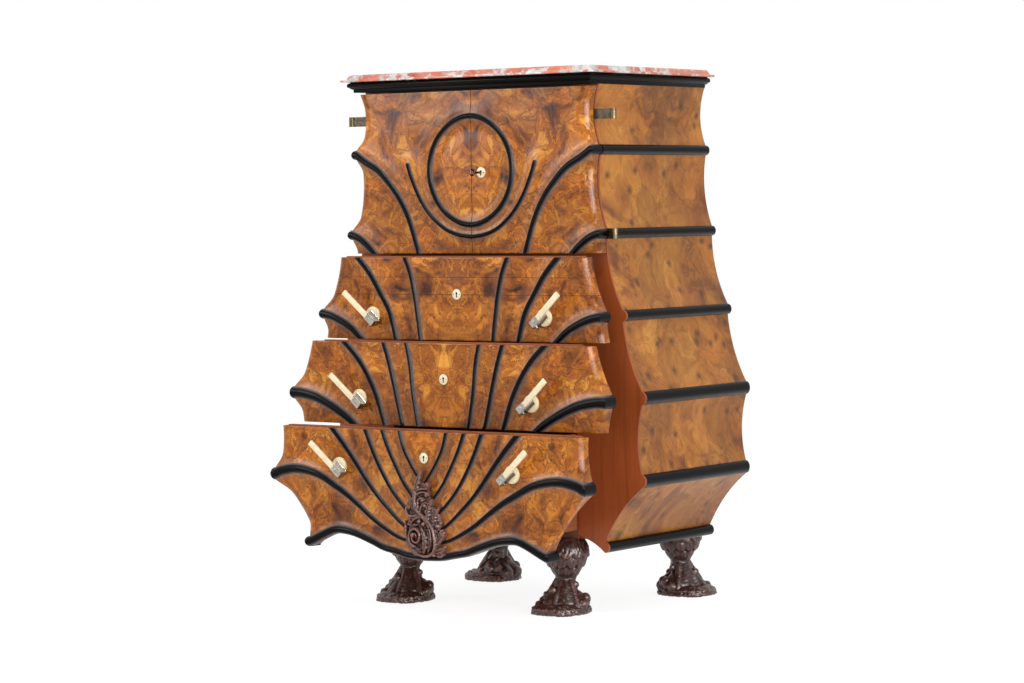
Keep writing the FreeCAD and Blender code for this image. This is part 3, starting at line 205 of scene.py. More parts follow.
@dataclass(frozen=True)
class BurrWalnut(Finish):
    """Burr walnut veneer: golden and brown patches, inky outlines, smoke and small eyes.

    The veneer is book-matched, so the left half mirrors the right half.
    """

    tones: tuple = ()        # colours of the figure, from one end of its noise to the other
    offset: tuple = (0.0, 0.0, 0.0)
    across: str = "X"        # the axis that the leaves are laid along, besides the upright
    figure: float = 13.0     # patches are about 1000 / figure millimetres across
    knots: float = 30.0      # eyes are about 1000 / knots millimetres apart
    knot_size: float = 0.13  # radius of an eye as a share of that
    knots_from: float = 0.55     # level of the clouds above which eyes show
    joints: tuple = (0.765, 0.807)   # heights of the seams between leaves of veneer
    seam: float = 0.0006     # half width of a seam
    lines: float = 40.0      # how closely the growth lines follow each other
    line_share: float = 0.7  # how dark the growth lines are
    edge_share: float = 0.5  # how dark the patches' edges are
    outline: float = 1.0     # how dark the outlines are, as a share of the burr's
    smoke: str = "#7A4824"
    ink: str = "#34180C"
    curl: str = "#5A2E16"
    dust_and_sheen: str = "#8A7264"    # painted sheen beside the ribs, with some polish rubbed through there

    def pattern(self, tree: NodeTree, place: NodeSocket) -> tuple:
        """Draws patches 20 to 90 mm across, veins 1 to 2 mm wide and eyes of 3 to 8 mm.

        Args:
            tree, place: the node tree, and the object's coordinates.
        Returns:
            The colour, and the figure as its height.
        """
        split = add(tree, "SeparateXYZ", {0: place})
        folded = add(tree, "Math ABSOLUTE", {0: split})
        book = add(tree, "CombineXYZ", {0: folded, 1: split.outputs["Y"], 2: split.outputs["Z"]})
        moved = add(tree, "VectorMath ADD", {0: book, 1: self.offset})
        wide = drift(tree, moved, self.figure * 0.45, 1.2 / self.figure)
        swirl = drift(tree, drift(tree, wide, self.figure * 2.2, 0.35 / self.figure),
                      self.figure * 7, 0.06 / self.figure)
        figure = add(tree, "TexNoise", {"Vector": swirl, "Scale": self.figure, "Detail": 8,
                                        "Roughness": 0.56, "Distortion": 0.5})
        clouds = add(tree, "TexNoise", {"Vector": wide, "Scale": self.figure * 0.55,
                                        "Detail": 6, "Roughness": 0.6})
        colour = self.ground(tree, swirl, figure, clouds)
        marks = [(share, self.ink) for share in self.lines_on(tree, moved, swirl, figure, clouds)]
        marks += [(self.curls(tree, wide, swirl), self.curl), (self.eyes(tree, moved), self.ink)]
        for height in self.joints:
            marks.append((add(tree, "Math COMPARE",
                              {0: split.outputs["Z"], 1: height, 2: self.seam}), self.ink))
        for share, over in marks:
            colour = add(tree, "Mix RGBA", {0: share, 6: colour, 7: over})
        # long fibres, drawn at 3 mm where the real ones are finer
        fibres = add(tree, "TexNoise", {"Vector": swirl, "Scale": 330, "Detail": 3, "Roughness": 0.7})
        colour = add(tree, "Mix RGBA", {0: 0.22, 6: colour, 7: fibres}, blend_type="OVERLAY")
        # painted sheen: a greyish band beside each rib stands in for the light that the cove there
        # mirrors, with some rubbed polish
        rubbed_and_sheen = add(tree, "Attribute", attribute_name="rubbed_and_sheen").outputs["Fac"]
        rubbed_and_sheen = add(tree, "Math MULTIPLY", {0: rubbed_and_sheen, 1: 0.38})
        colour = add(tree, "Mix RGBA", {0: rubbed_and_sheen, 6: colour, 7: self.dust_and_sheen})
        return colour, figure, None

    def ground(self, tree: NodeTree, swirl: Node, figure: Node, clouds: Node) -> Node:
        """Draws patches, each with its own tone, under smoke.

        Args:
            tree, swirl: the node tree, and the swirled place.
            figure, clouds: the noises that the tones and the smoke follow.
        Returns:
            The node that gives the colour.
        """
        colour = add(tree, "ValToRGB", {"Fac": figure}, stops=self.tones)
        haze = add(tree, "ValToRGB", {"Fac": clouds}, stops=(
            (0.34, self.smoke), (0.47, "#E8C49A"), (0.56, "#FFF4E4"), (0.68, "#E2B27C")))
        cells = add(tree, "TexVoronoi", {"Vector": swirl, "Scale": self.figure * 1.1})
        tone = add(tree, "SeparateColor", {0: cells.outputs["Color"]})
        for share, over, blend in ((0.66, haze, "MULTIPLY"), (0.22, tone, "OVERLAY")):
            colour = add(tree, "Mix RGBA", {0: share, 6: colour, 7: over}, blend_type=blend)
        return colour

    def lines_on(self, tree: NodeTree, moved: Node, swirl: Node, figure: Node, clouds: Node) -> list:
        """Draws the patches' edges, the outlines and the growth lines.

        Outlines run along two levels of the figure, where clouds let them show. Growth lines lie
        about 8 mm apart, and are drawn 2 mm wide where the real ones are finer.

        Args:
            tree, moved, swirl: the node tree, the folded place and the swirled one.
            figure, clouds: the noise that the outlines follow, and what fades the growth lines.
        Returns:
            A node for each kind of line, which gives how dark it is.
        """
        edges = add(tree, "TexVoronoi", {"Vector": swirl, "Scale": self.figure * 1.1},
                    feature="DISTANCE_TO_EDGE")
        made = [add(tree, "MapRange", {"Value": edges, "From Max": 0.03,
                                       "To Min": self.edge_share, "To Max": 0.0})]
        shown = patches(tree, moved, self.figure * 0.8, between(0.44, 0.54), Detail=3)
        for level, thick, share in ((0.455, 0.010, 0.95), (0.575, 0.012, 0.8)):
            line = add(tree, "ValToRGB", {"Fac": figure}, stops=band(level, thick))
            line = add(tree, "Math MULTIPLY", {0: line, 1: shown})
            made.append(add(tree, "Math MULTIPLY", {0: line, 1: share * self.outline}))
        rings = add(tree, "TexNoise", {"Vector": swirl, "Scale": self.figure * 0.9,
                                       "Detail": 3, "Roughness": 0.5})
        rings = add(tree, "Math MULTIPLY", {0: rings, 1: self.lines})
        rings = add(tree, "Math PINGPONG", {0: rings, 1: 1.0})
        rings = add(tree, "MapRange", {"Value": rings, "From Max": 0.22,
                                       "To Min": self.line_share, "To Max": 0.0})
        faded = add(tree, "ValToRGB", {"Fac": clouds}, stops=((0.46, "#FFFFFF"), (0.60, "#303030")))
        made.append(add(tree, "Math MULTIPLY", {0: rings, 1: faded}))
        return made

    def curls(self, tree: NodeTree, wide: Node, swirl: Node) -> Node:
        """Draws dark curls, which gather in places.

        Args:
            tree, wide, swirl: the node tree, the place moved a little and the swirled one.
        Returns:
            The node that gives how dark they are.
        """
        curls = patches(tree, swirl, self.figure * 3.2, between(0.485, 0.54), Detail=6,
                        Roughness=0.66, Distortion=1.4)
        gathered = patches(tree, wide, self.figure * 0.9, ((0.53, "#000000"),
                                                           (0.62, "#BFBFBF")), Detail=4)
        return add(tree, "Math MULTIPLY", {0: curls, 1: gathered})

    def eyes(self, tree: NodeTree, moved: Node) -> Node:
        """Draws clusters of round eyes.

        Args:
            tree, moved: the node tree, and the folded place.
        Returns:
            The node that gives how dark they are.
        """
        spread = add(tree, "SeparateXYZ", {0: drift(tree, moved, self.knots * 2.4, 0.16 / self.knots)})
        flat = add(tree, "CombineXYZ", {0: spread.outputs[self.across], 1: spread.outputs["Z"]})
        cells = add(tree, "TexVoronoi", {"Vector": flat, "Scale": self.knots}, voronoi_dimensions="2D")
        spot = add(tree, "MapRange", {"Value": cells.outputs["Distance"], "From Min": 0.0,
                                      "From Max": self.knot_size, "To Min": 0.9, "To Max": 0.0})
        cluster = patches(tree, moved, self.figure * 0.7,
                          between(self.knots_from, self.knots_from + 0.07))
        return add(tree, "Math MULTIPLY", {0: spot, 1: cluster})


@dataclass(frozen=True)
class Mahogany(Finish):
    """Straight-grained wood: fine dark pores along the grain and a broad soft ribbon."""

    along: tuple = (70.0, 70.0, 2.2)
    dark: str = "#7A3216"

    def pattern(self, tree: NodeTree, place: NodeSocket) -> tuple:
        """Draws grain about 8 mm wide, stretched along one axis, and finer pores in it.

        Args:
            tree, place: the node tree, and the object's coordinates.
        Returns:
            The colour, and the pores as its height.
        """
        stretched = add(tree, "VectorMath MULTIPLY", {0: place, 1: self.along})
        colour = patches(tree, stretched, 1.0, ((0.26, self.dark), (0.52, self.colour),
                                                (0.80, self.dark)),
                         Detail=5, Roughness=0.62, Distortion=0.4)
        pores = add(tree, "TexNoise", {"Vector": stretched, "Scale": 9.0, "Detail": 4, "Roughness": 0.7})
        ribbon = add(tree, "TexNoise", {"Vector": place, "Scale": 5.0, "Detail": 1})
        for cloud, share in ((pores, 0.25), (ribbon, 0.3)):
            colour = add(tree, "Mix RGBA", {0: share, 6: colour, 7: cloud},
                         blend_type="OVERLAY")
        return colour, pores, None


@dataclass(frozen=True)
class Stone(Finish):
    """Polished red limestone: salmon ground with white and grey patches and fine veins."""

    vein: str = "#E8D4CB"

    def pattern(self, tree: NodeTree, place: NodeSocket) -> tuple:
        """Draws cloudy ground, ragged white patches 20 to 120 mm across, and thin veins.

        Args:
            tree, place: the node tree, and the object's coordinates.
        Returns:
            The colour alone.
        """
        swirl = drift(tree, drift(tree, place, 6, 0.10), 40, 0.02)
        ground = patches(tree, swirl, 14, ((0.30, "#A8523C"), (0.48, "#C06C54"),
                                           (0.62, "#CC7C64"), (0.78, "#DC9C84")),
                         Detail=6, Roughness=0.6)
        grey = patches(tree, swirl, 42, ((0.36, "#8E8888"), (0.50, "#BEB8B6"),
                                         (0.65, "#DCD7D3")), Detail=6, Roughness=0.7)
        spread = patches(tree, swirl, 13, between(0.505, 0.535), Detail=8, Roughness=0.68)
        vein = patches(tree, swirl, 16, band(0.5, 0.008), Detail=5, Roughness=0.6)
        vein = add(tree, "Math MULTIPLY", {0: vein, 1: 0.5})
        colour = ground
        for share, over in ((spread, grey), (vein, self.vein)):
            colour = add(tree, "Mix RGBA", {0: share, 6: colour, 7: over})
        return colour, None, None


@dataclass(frozen=True)
class CarvedWood(Finish):
    """Carved walnut stained dark: crests lighter and browner, as worn wax and a painted highlight, and
    dark hollows.
    """

    crest: str = "#7C5347"

    def pattern(self, tree: NodeTree, place: NodeSocket) -> tuple:
        """Lightens the crests, which the mesh's own relief attribute marks, and adds grain.

        Args:
            tree, place: the node tree, and the object's coordinates.
        Returns:
            The colour, and the grain as its height.
        """
        relief = add(tree, "Attribute", attribute_name="relief").outputs["Fac"]
        streak = add(tree, "VectorMath MULTIPLY", {0: place, 1: (120.0, 120.0, 18.0)})
        grain = add(tree, "TexNoise", {"Vector": streak, "Scale": 1.0, "Detail": 4, "Roughness": 0.6})
        share = add(tree, "Math MULTIPLY_ADD", {0: grain, 1: 1.2, 2: 0.25})
        share = add(tree, "Math MULTIPLY", {0: relief, 1: share}, use_clamp=True)
        # crests lightened: worn wax and a painted highlight
        colour = add(tree, "Mix RGBA", {0: share, 6: self.colour, 7: self.crest})
        colour = add(tree, "Mix RGBA", {0: 0.2, 6: colour, 7: grain}, blend_type="OVERLAY")
        return colour, grain, None


@dataclass(frozen=True)
class Lacquer(Finish):
    """Ebonised wood: black on its crest, greyed down its flanks by dust and a painted sheen."""

    dust_and_sheen: str = "#7A7474"

    def pattern(self, tree: NodeTree, place: NodeSocket) -> tuple:
        """Greys what the mesh's flank attribute marks, in a streaky way, as dust and a painted sheen.

        Args:
            tree, place: the node tree, and the object's coordinates.
        Returns:
            The colour, and a cloud as its height.
        """
        cloud = add(tree, "TexNoise", {"Vector": place, "Scale": 60, "Detail": 4})
        share = add(tree, "Math MULTIPLY_ADD", {0: cloud, 1: 0.7, 2: 0.4})
        # the flank share greys the lacquer: dust and a painted sheen
        flank = add(tree, "Attribute", attribute_name="flank").outputs["Fac"]
        share = add(tree, "Math MULTIPLY", {0: flank, 1: share}, use_clamp=True)
        colour = add(tree, "Mix RGBA", {0: share, 6: self.colour, 7: self.dust_and_sheen})
        return colour, cloud, None


@dataclass(frozen=True)
class Horn(Finish):
    """Polished cream horn: warm white with faint honey streaks."""

    streak: str = "#DCC690"

    def pattern(self, tree: NodeTree, place: NodeSocket) -> tuple:
        """Draws streaks a few millimetres apart.

        Args:
            tree, place: the node tree, and the object's coordinates.
        Returns:
            The colour, and the streaks as its height.
        """
        clouds = add(tree, "TexNoise", {"Vector": drift(tree, place, 30, 0.02), "Scale": 110,
                                        "Detail": 4, "Roughness": 0.6})
        share = add(tree, "Math MULTIPLY_ADD", {0: clouds, 1: 2.4, 2: -0.95}, use_clamp=True)
        colour = add(tree, "Mix RGBA", {0: share, 6: self.colour, 7: self.streak})
        return colour, clouds, None


@dataclass(frozen=True)
class WornMetal(Finish):
    """Rubbed metal: bright where hands touch it, duller and browner in patches."""

    tarnish: str = "#5A5046"
    knuckle: str = ""          # colour further out than bare_from, if it has one
    bare_from: float = 0.389   # metres from the middle of the chest

    def pattern(self, tree: NodeTree, place: NodeSocket) -> tuple:
        """Draws patches of tarnish about 10 mm across, which are also rougher.

        Args:
            tree, place: the node tree, and the object's coordinates.
        Returns:
            The colour and the roughness.
        """
        patch = add(tree, "TexNoise", {"Vector": place, "Scale": 120, "Detail": 5, "Roughness": 0.65})
        share = add(tree, "Math MULTIPLY_ADD", {0: patch, 1: 3.0, 2: -1.35}, use_clamp=True)
        bright = self.colour
        if self.knuckle:
            out = add(tree, "Math ABSOLUTE", {0: add(tree, "SeparateXYZ", {0: place})})
            bare = add(tree, "Math GREATER_THAN", {0: out, 1: self.bare_from})
            bright = add(tree, "Mix RGBA", {0: bare, 6: self.colour, 7: self.knuckle})
        colour = add(tree, "Mix RGBA", {0: share, 6: bright, 7: self.tarnish})
        rough = add(tree, "Math MULTIPLY_ADD", {0: share, 1: 0.25, 2: self.roughness})
        return colour, None, rough


class Look(Enum):
    """Every finish of the chest; each comment says what the real surface gives the eye."""

    # rubbed French polish: deep gold and brown under a soft mirror
    BURR = BurrWalnut("polished_burr_walnut", "#B4743A", 0.24, gloss=0.24, bump=0.12, tones=(
        (0.30, "#341808"), (0.37, "#784216"), (0.43, "#A2611A"), (0.48, "#C27C28"),
        (0.52, "#985818"), (0.57, "#B26C22"), (0.64, "#D2943A"), (0.71, "#9C5C1C"),
        (0.80, "#542A10")), smoke="#7C4C20")
    # the same veneer, sun-bleached and satin, laid in larger and calmer leaves
    SIDE = BurrWalnut("satin_walnut_veneer", "#B4743A", 0.36, gloss=0.24, bump=0.08, tones=(
        (0.28, "#6E4218"), (0.38, "#986024"), (0.46, "#B67C30"), (0.52, "#A26A28"),
        (0.60, "#C0883C"), (0.70, "#9E6628"), (0.82, "#78481C")),
        offset=(0.31, 0.17, 0.05), across="Y", figure=6.5, knots=13.0, knot_size=0.19,
        knots_from=0.44, joints=(), lines=18.0, line_share=0.32, edge_share=0.16,
        outline=0.5, smoke="#8A5A30", ink="#40220F")
    # straight brown-red grain with a clear gloss
    STILE = Mahogany("polished_mahogany", "#9C4E26", 0.28, gloss=0.25, bump=0.05, dark="#85401E")
    # unpolished edges and backs: the same wood, duller
    CORE = Mahogany("planed_mahogany", "#8A4A2A", 0.5, along=(3.0, 80.0, 80.0), bump=0.08, dark="#5C2410")
    # inner boards: oiled, brown, little shine
    CASE = Mahogany("oiled_walnut_boards", "#7A4A2C", 0.5, along=(3.0, 60.0, 60.0), bump=0.08,
                    dark="#4C2A18")
    # drawer boxes: pale red wood as planed
    BOX = Mahogany("planed_drawer_wood", "#96552E", 0.5, along=(60.0, 3.0, 60.0), bump=0.08,
                   dark="#6E361A")
    # ebonised pear: near black with a soft broad sheen
    LACQUER = Lacquer("black_lacquer_on_pearwood", "#070506", 0.24, gloss=0.08, bump=0.05)
    # polished stone: colour at full depth and a mirror where a lamp meets it
    STONE = Stone("polished_red_limestone", "#BE644A", 0.22, gloss=0.4)
    # waxed carving: dark, lighter on every crest as worn wax and a painted highlight
    CARVED = CarvedWood("waxed_carved_walnut", "#38211C", 0.32, gloss=0.42, bump=0.2)
    # horn: warm and pale, as smooth as a button
    HORN = Horn("polished_cream_horn", "#E9DCBC", 0.30, gloss=0.4, bump=0.05)
    # clips: bright plate, worn through to grey in places
    NICKEL = WornMetal("worn_nickel", "#B0ABA2", 0.13, 1.0, 0.5, tarnish="#6E675C")
    # locks and bolts: filed steel, a little grey
    STEEL = WornMetal("dull_steel", "#8C8880", 0.38, 1.0, 0.5)
    # hinges: leaves gone bronze brown, with brass knuckles rubbed bare
    HINGE = WornMetal("bronzed_hinge", "#544C42", 0.36, 1.0, 0.5, tarnish="#332C25", knuckle="#5E543E")
    # hinge pins: plain brass, dull
    BRASS = WornMetal("dull_brass", "#B8A47C", 0.34, 1.0, 0.5, tarnish="#5E523C")
    # the key: steel browned by heat, polished by use
    KEY = WornMetal("browned_steel_key", "#5A4248", 0.22, 1.0, 0.5, tarnish="#2C1E20")
    # inside a keyhole nothing is seen
    VOID = Finish("shadow_in_a_keyhole", "#080504", 0.9)


MATERIALS = {look: look.value.make() for look in Look}


class Slot(Enum):
    """The record's material slots."""

    VENEER = "burr_veneer"
    SIDE = "side_veneer"
    MAHOGANY = "polished_mahogany"
    LACQUER = "black_lacquer"
    DRAWER = "drawer_wood"
    MARBLE = "marble"
    CARVED = "dark_carved_wood"
    NICKEL = "nickel"
    HORN = "cream_horn"


# ---- Meshes out of grids ----
class Shell:
    """Grids of points that are gathered into one closed mesh."""

    def __init__(self) -> None:
        """Starts with no points."""
        self.points: list[Array] = []
        self.faces: list[Array] = []
        self.slots: list[Array] = []
        self.count = 0

    def put(self, points: Array, faces: Array, slot: int) -> None:
        """Adds points and the four-cornered faces among them.

        Args:
            points: any number of them, by 3.
            faces: the numbers of each face's corners among these points.
            slot: their material.
        """
        self.points.append(points.reshape(-1, 3))
        self.faces.append(faces.reshape(-1, 4) + self.count)
        self.slots.append(np.full(faces.reshape(-1, 4).shape[0], slot))
        self.count += self.points[-1].shape[0]

    def grid(self, points: Array, slot: int = 0, round_rows: bool = False,
             round_columns: bool = False) -> None:
        """Adds a grid of points as faces.

        Args:
            points: rows by columns by 3.
            slot: its material.
            round_rows: joins the last row to the first one.
            round_columns: joins the last column to the first one.
        """
        rows, columns = points.shape[:2]
        index = np.arange(rows * columns).reshape(rows, columns)
        if round_rows:
            index = np.vstack([index, index[:1]])
        if round_columns:
            index = np.hstack([index, index[:, :1]])
        self.put(points, np.stack([index[:-1, :-1], index[1:, :-1], index[1:, 1:],
                                   index[:-1, 1:]], axis=-1), slot)

    def cap(self, loop: Array, slot: int = 0) -> None:
        """Closes a loop of points with a fan to its middle."""
        middle = np.broadcast_to(loop.mean(0), loop.shape)
        self.grid(np.stack([loop, middle]), slot, round_columns=True)

    def tube(self, sections: Array, slot: int = 0) -> None:
        """Adds a row of closed sections, capped at both ends.

        Args:
            sections: sections by points by 3.
            slot: its material.
        """
        self.grid(sections, slot, round_columns=True)
        self.cap(sections[0], slot)
        self.cap(sections[-1], slot)

    def block(self, low: tuple, high: tuple, bevel: float, slot: int = 0) -> None:
        """Adds a plain board, each end of which is an octagon inset by its bevel.

        Args:
            low, high: two opposite corners, in millimetres.
            bevel: width of its bevelled edges.
            slot: its material.
        """
        (x0, y0, z0), (x1, y1, z1) = low, high
        rows = []
        for y, inset in ((y0, bevel), (y0 + bevel, 0), (y1 - bevel, 0), (y1, bevel)):
            left, right, under, over = x0 + inset, x1 - inset, z0 + inset, z1 - inset
            cut = bevel - inset
            rows.append([(left + cut, y, under), (right - cut, y, under),
                         (right, y, under + cut), (right, y, over - cut),
                         (right - cut, y, over), (left + cut, y, over),
                         (left, y, over - cut), (left, y, under + cut)])
        self.tube(np.array(rows) * MM, slot)

    def slab(self, front: Array, back: Array, face: int = 0, core: int = 0, ends: int = 0) -> None:
        """Joins two grids with the same layout into a closed board.

        Args:
            front: the board's shown face.
            back: the face behind it.
            face: material of the front.
            core: material of the back and of the walls along the first and last rows.
            ends: material of the walls along the first and last columns.
        """
        self.grid(front, face)
        self.grid(back, core)
        for row in (0, -1):
            self.grid(np.stack([front[row], back[row]]), core)
            self.grid(np.stack([front[:, row], back[:, row]]), ends)

    def masked(self, front: Array, back: Array, kept: Array) -> None:
        """Closes the kept cells of two grids into a slab with walls along its outline.

        Args:
            front: rows by columns by 3.
            back: the grid behind it, with the same layout.
            kept: for each cell, whether it is kept.
        """
        rows, columns = front.shape[:2]
        index = np.arange(rows * columns).reshape(rows, columns)
        cell = np.stack([index[:-1, :-1], index[1:, :-1], index[1:, 1:], index[:-1, 1:]], -1)
        walls = []
        wide = np.pad(kept, 1)
        for far, first, second in ((wide[:-2, 1:-1], 0, 3), (wide[2:, 1:-1], 1, 2),
                                   (wide[1:-1, :-2], 0, 1), (wide[1:-1, 2:], 3, 2)):
            edge = cell[kept & ~far]
            one, two = edge[:, first], edge[:, second]
            walls.append(np.stack([one, two, two + rows * columns, one + rows * columns], -1))
        faces = np.concatenate([cell[kept], cell[kept] + rows * columns] + walls)
        self.put(np.concatenate([front.reshape(-1, 3), back.reshape(-1, 3)]), faces, 0)

    def make(self, name: str, finishes: tuple, sharp: float = 40.0) -> Object:
        """Welds the grids and gives the piece.

        Args:
            name: the piece's name.
            finishes: its finishes, in slot order.
            sharp: the degrees from which an edge stays hard.
        Returns:
            The new object.
        """
        points, faces = np.concatenate(self.points), np.concatenate(self.faces)
        mesh = bpy.data.meshes.new(name)
        mesh.vertices.add(len(points))
        mesh.vertices.foreach_set("co", points.astype(np.float32).ravel())
        mesh.loops.add(faces.size)
        mesh.loops.foreach_set("vertex_index", faces.astype(np.int32).ravel())
        mesh.polygons.add(len(faces))
        mesh.polygons.foreach_set("loop_start", np.arange(0, faces.size, 4, dtype=np.int32))
        mesh.polygons.foreach_set("material_index", np.concatenate(self.slots).astype(np.int32))
        mesh.update(calc_edges=True)
        made = bmesh.new()
        made.from_mesh(mesh)
        bmesh.ops.remove_doubles(made, verts=made.verts[:], dist=2e-6)
        loose = [v for v in made.verts if not v.link_faces]
        bmesh.ops.delete(made, geom=loose, context="VERTS")
        bmesh.ops.recalc_face_normals(made, faces=made.faces[:])
        made.to_mesh(mesh)
        made.free()
        return finish_piece(mesh, name, finishes, sharp)


def stand(name: str, data: ID) -> Object:
    """Puts a mesh, a lamp or a camera in the scene.

    Args:
        name, data: the new object's name, and what it shows.
    Returns:
        The new object.
    """
    made = bpy.data.objects.new(name, data)
    bpy.context.scene.collection.objects.link(made)
    return made


def finish_piece(mesh: Mesh, name: str, finishes: tuple, sharp: float) -> Object:
    """Shades a mesh, gives it its materials and puts it in the scene.

    Args:
        mesh: the piece's shape, in its place.
        name: the piece's name.
        finishes: its finishes, in slot order; none if the mesh has them already.
        sharp: the degrees from which an edge stays hard.
    Returns:
        The new object.
    """
    mesh.polygons.foreach_set("use_smooth", np.ones(len(mesh.polygons), dtype=bool))
    mesh.set_sharp_from_angle(angle=math.radians(sharp))
    for key in finishes:
        mesh.materials.append(MATERIALS[key])
    return stand(name, mesh)


def settle(piece: Object, body: str, slot: Slot, *nodes: str) -> None:
    """Says what a piece rides on and what it stands for.

    Args:
        piece: the piece.
        body: the body that it moves with.
        slot: the record's material slot; not used.
        nodes: the CAD nodes that it replaces.
    """
    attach(piece, body)
    if nodes:
        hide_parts(*nodes)
    LOG.info("%-28s %6d faces on %s", piece.name, len(piece.data.polygons), body)


def vectors(items: bpy.types.bpy_prop_collection, name: str) -> Array:
    """Reads a vector of each of some items.

    Args:
        items, name: the items, and the name of what is read.
    Returns:
        The vectors, one a row.
    """
    values = np.empty(len(items) * 3)
    items.foreach_get(name, values)
    return values.reshape(-1, 3)


def places(mesh: Mesh) -> Array:
    """The vertices of a mesh, in millimetres."""
    return vectors(mesh.vertices, "co") / MM


def normals_of(mesh: Mesh) -> Array:
    """The directions in which the vertices of a mesh face."""
    return vectors(mesh.vertex_normals, "vector")


def store(mesh: Mesh, name: str, values: Array) -> None:
    """Keeps one number for each vertex of a mesh, which its finish reads by name."""
    mesh.attributes.new(name, "FLOAT", "POINT").data.foreach_set("value", values.astype(np.float32))


def trim(piece: Object, planes: list) -> None:
    """Cuts a closed piece with planes and closes it again.

    Args:
        piece: the piece, which is changed.
        planes: (point, normal) pairs; what lies on a normal's side goes.
    """
    made = bmesh.new()
    made.from_mesh(piece.data)
    for point, normal in planes:
        parts = made.verts[:] + made.edges[:] + made.faces[:]
        cut = bmesh.ops.bisect_plane(made, geom=parts, plane_co=point, plane_no=normal,
                                     clear_outer=True, dist=1e-6)
        rim = [part for part in cut["geom_cut"] if isinstance(part, bmesh.types.BMEdge)]
        bmesh.ops.holes_fill(made, edges=rim, sides=0)
    bmesh.ops.recalc_face_normals(made, faces=made.faces[:])
    made.to_mesh(piece.data)
    made.free()
    piece.data.set_sharp_from_angle(angle=math.radians(40))


def spline(points: Array, steps: int = 12) -> Array:
    """A smooth way through points: the Catmull-Rom cubic between each two of them.

    Args:
        points: the points, one a row.
        steps: how many points it gives for each one.
    Returns:
        The way's points, ending at the last one.
    """
    points = np.asarray(points, float)
    ends = np.vstack([2 * points[:1] - points[1:2], points, 2 * points[-1:] - points[-2:-1]])
    t = np.linspace(0, 1, steps, endpoint=False)[None, :, None]
    before, start, end, after = (ends[k:len(ends) - 3 + k][:, None, :] for k in range(4))
    way = 0.5 * (2 * start + (end - before) * t
                 + (2 * before - 5 * start + 4 * end - after) * t ** 2
                 + (3 * start - before - 3 * end + after) * t ** 3)
    return np.vstack([way.reshape(-1, points.shape[1]), points[-1:]])


def share_along(way: Array) -> Array:
    """For each point of a way, the share of its length that lies before it."""
    run = np.concatenate([[0.0], np.cumsum(np.linalg.norm(np.diff(way, axis=0), axis=1))])
    return run / run[-1]


def smooth_step(low: float, high: float, value: Array) -> Array:
    """Rises from 0 at low to 1 at high, level at both ends."""
    t = np.clip((value - low) / (high - low), 0, 1)
    return t * t * (3 - 2 * t)


def arc(along: Array, start: tuple, end: tuple, sag: float) -> Array:
    """Heights of the circular arc through two points that bulges by sag.

    For a chord L its radius is L^2 / 8s + s / 2, and its centre lies on the chord's normal.

    Args:
        along: where its height is wanted.
        start, end: (along, height) of its ends.
        sag: how far it bulges, below 0 downwards.
    Returns:
        A height for each place.
    """
    (t0, v0), (t1, v1) = start, end
    chord = math.hypot(t1 - t0, v1 - v0)
    radius = chord ** 2 / (8 * abs(sag)) + abs(sag) / 2
    bulge = math.copysign(1.0, sag)
    away = bulge * (radius - abs(sag)) / chord
    middle = (t0 + t1) / 2 + away * (v1 - v0)
    root = np.sqrt(np.maximum(radius ** 2 - (along - middle) ** 2, 0))
    return (v0 + v1) / 2 - away * (t1 - t0) + bulge * root


def ripple(points: Array, size: float, seed: int) -> Array:
    """Uneven waves: the mean of eight sines in random directions.

    Args:
        points: where they are wanted, one place in the last axis.
        size: they lie about this far apart.
        seed: of their directions.
    Returns:
        A height for each place, about -1 to 1.
    """
    chance = np.random.default_rng(seed)
    ways = chance.normal(size=(8, points.shape[-1]))
    ways *= 2 * math.pi / size * chance.uniform(0.6, 1.5, (8, 1)) / np.linalg.norm(
        ways, axis=1, keepdims=True)
    return np.sin(points @ ways.T + chance.uniform(0, 2 * math.pi, 8)).mean(-1) * 2


# ---- Levels and the scalloped outline, from the frame ----
LOW, HIGH = 0, 1
X, Y, Z = 0, 1, 2


def face_of(node: str, end: int, axis: int) -> float:
    """One face of a CAD node's box, in millimetres."""
    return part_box(node)[end][axis] / MM


def span(node: str, axis: int) -> tuple[float, float]:
    """Both faces of a CAD node's box along an axis."""
    return face_of(node, LOW, axis), face_of(node, HIGH, axis)


def middle_of(node: str, axis: int) -> float:
    """The middle of a CAD node's box along an axis, in millimetres."""
    return sum(span(node, axis)) / 2


@dataclass(frozen=True)
class Moulding:
    """A black half-round along the case."""

    half: float     # half width of the case over its nose
    height: float   # its middle above the floor
    tall: float
    sag: float      # depth of the scallop under it
    proud: float = 11.0

    @property
    def ground(self) -> float:
        """Half width of the case where the moulding is planted."""
        return self.half - self.proud


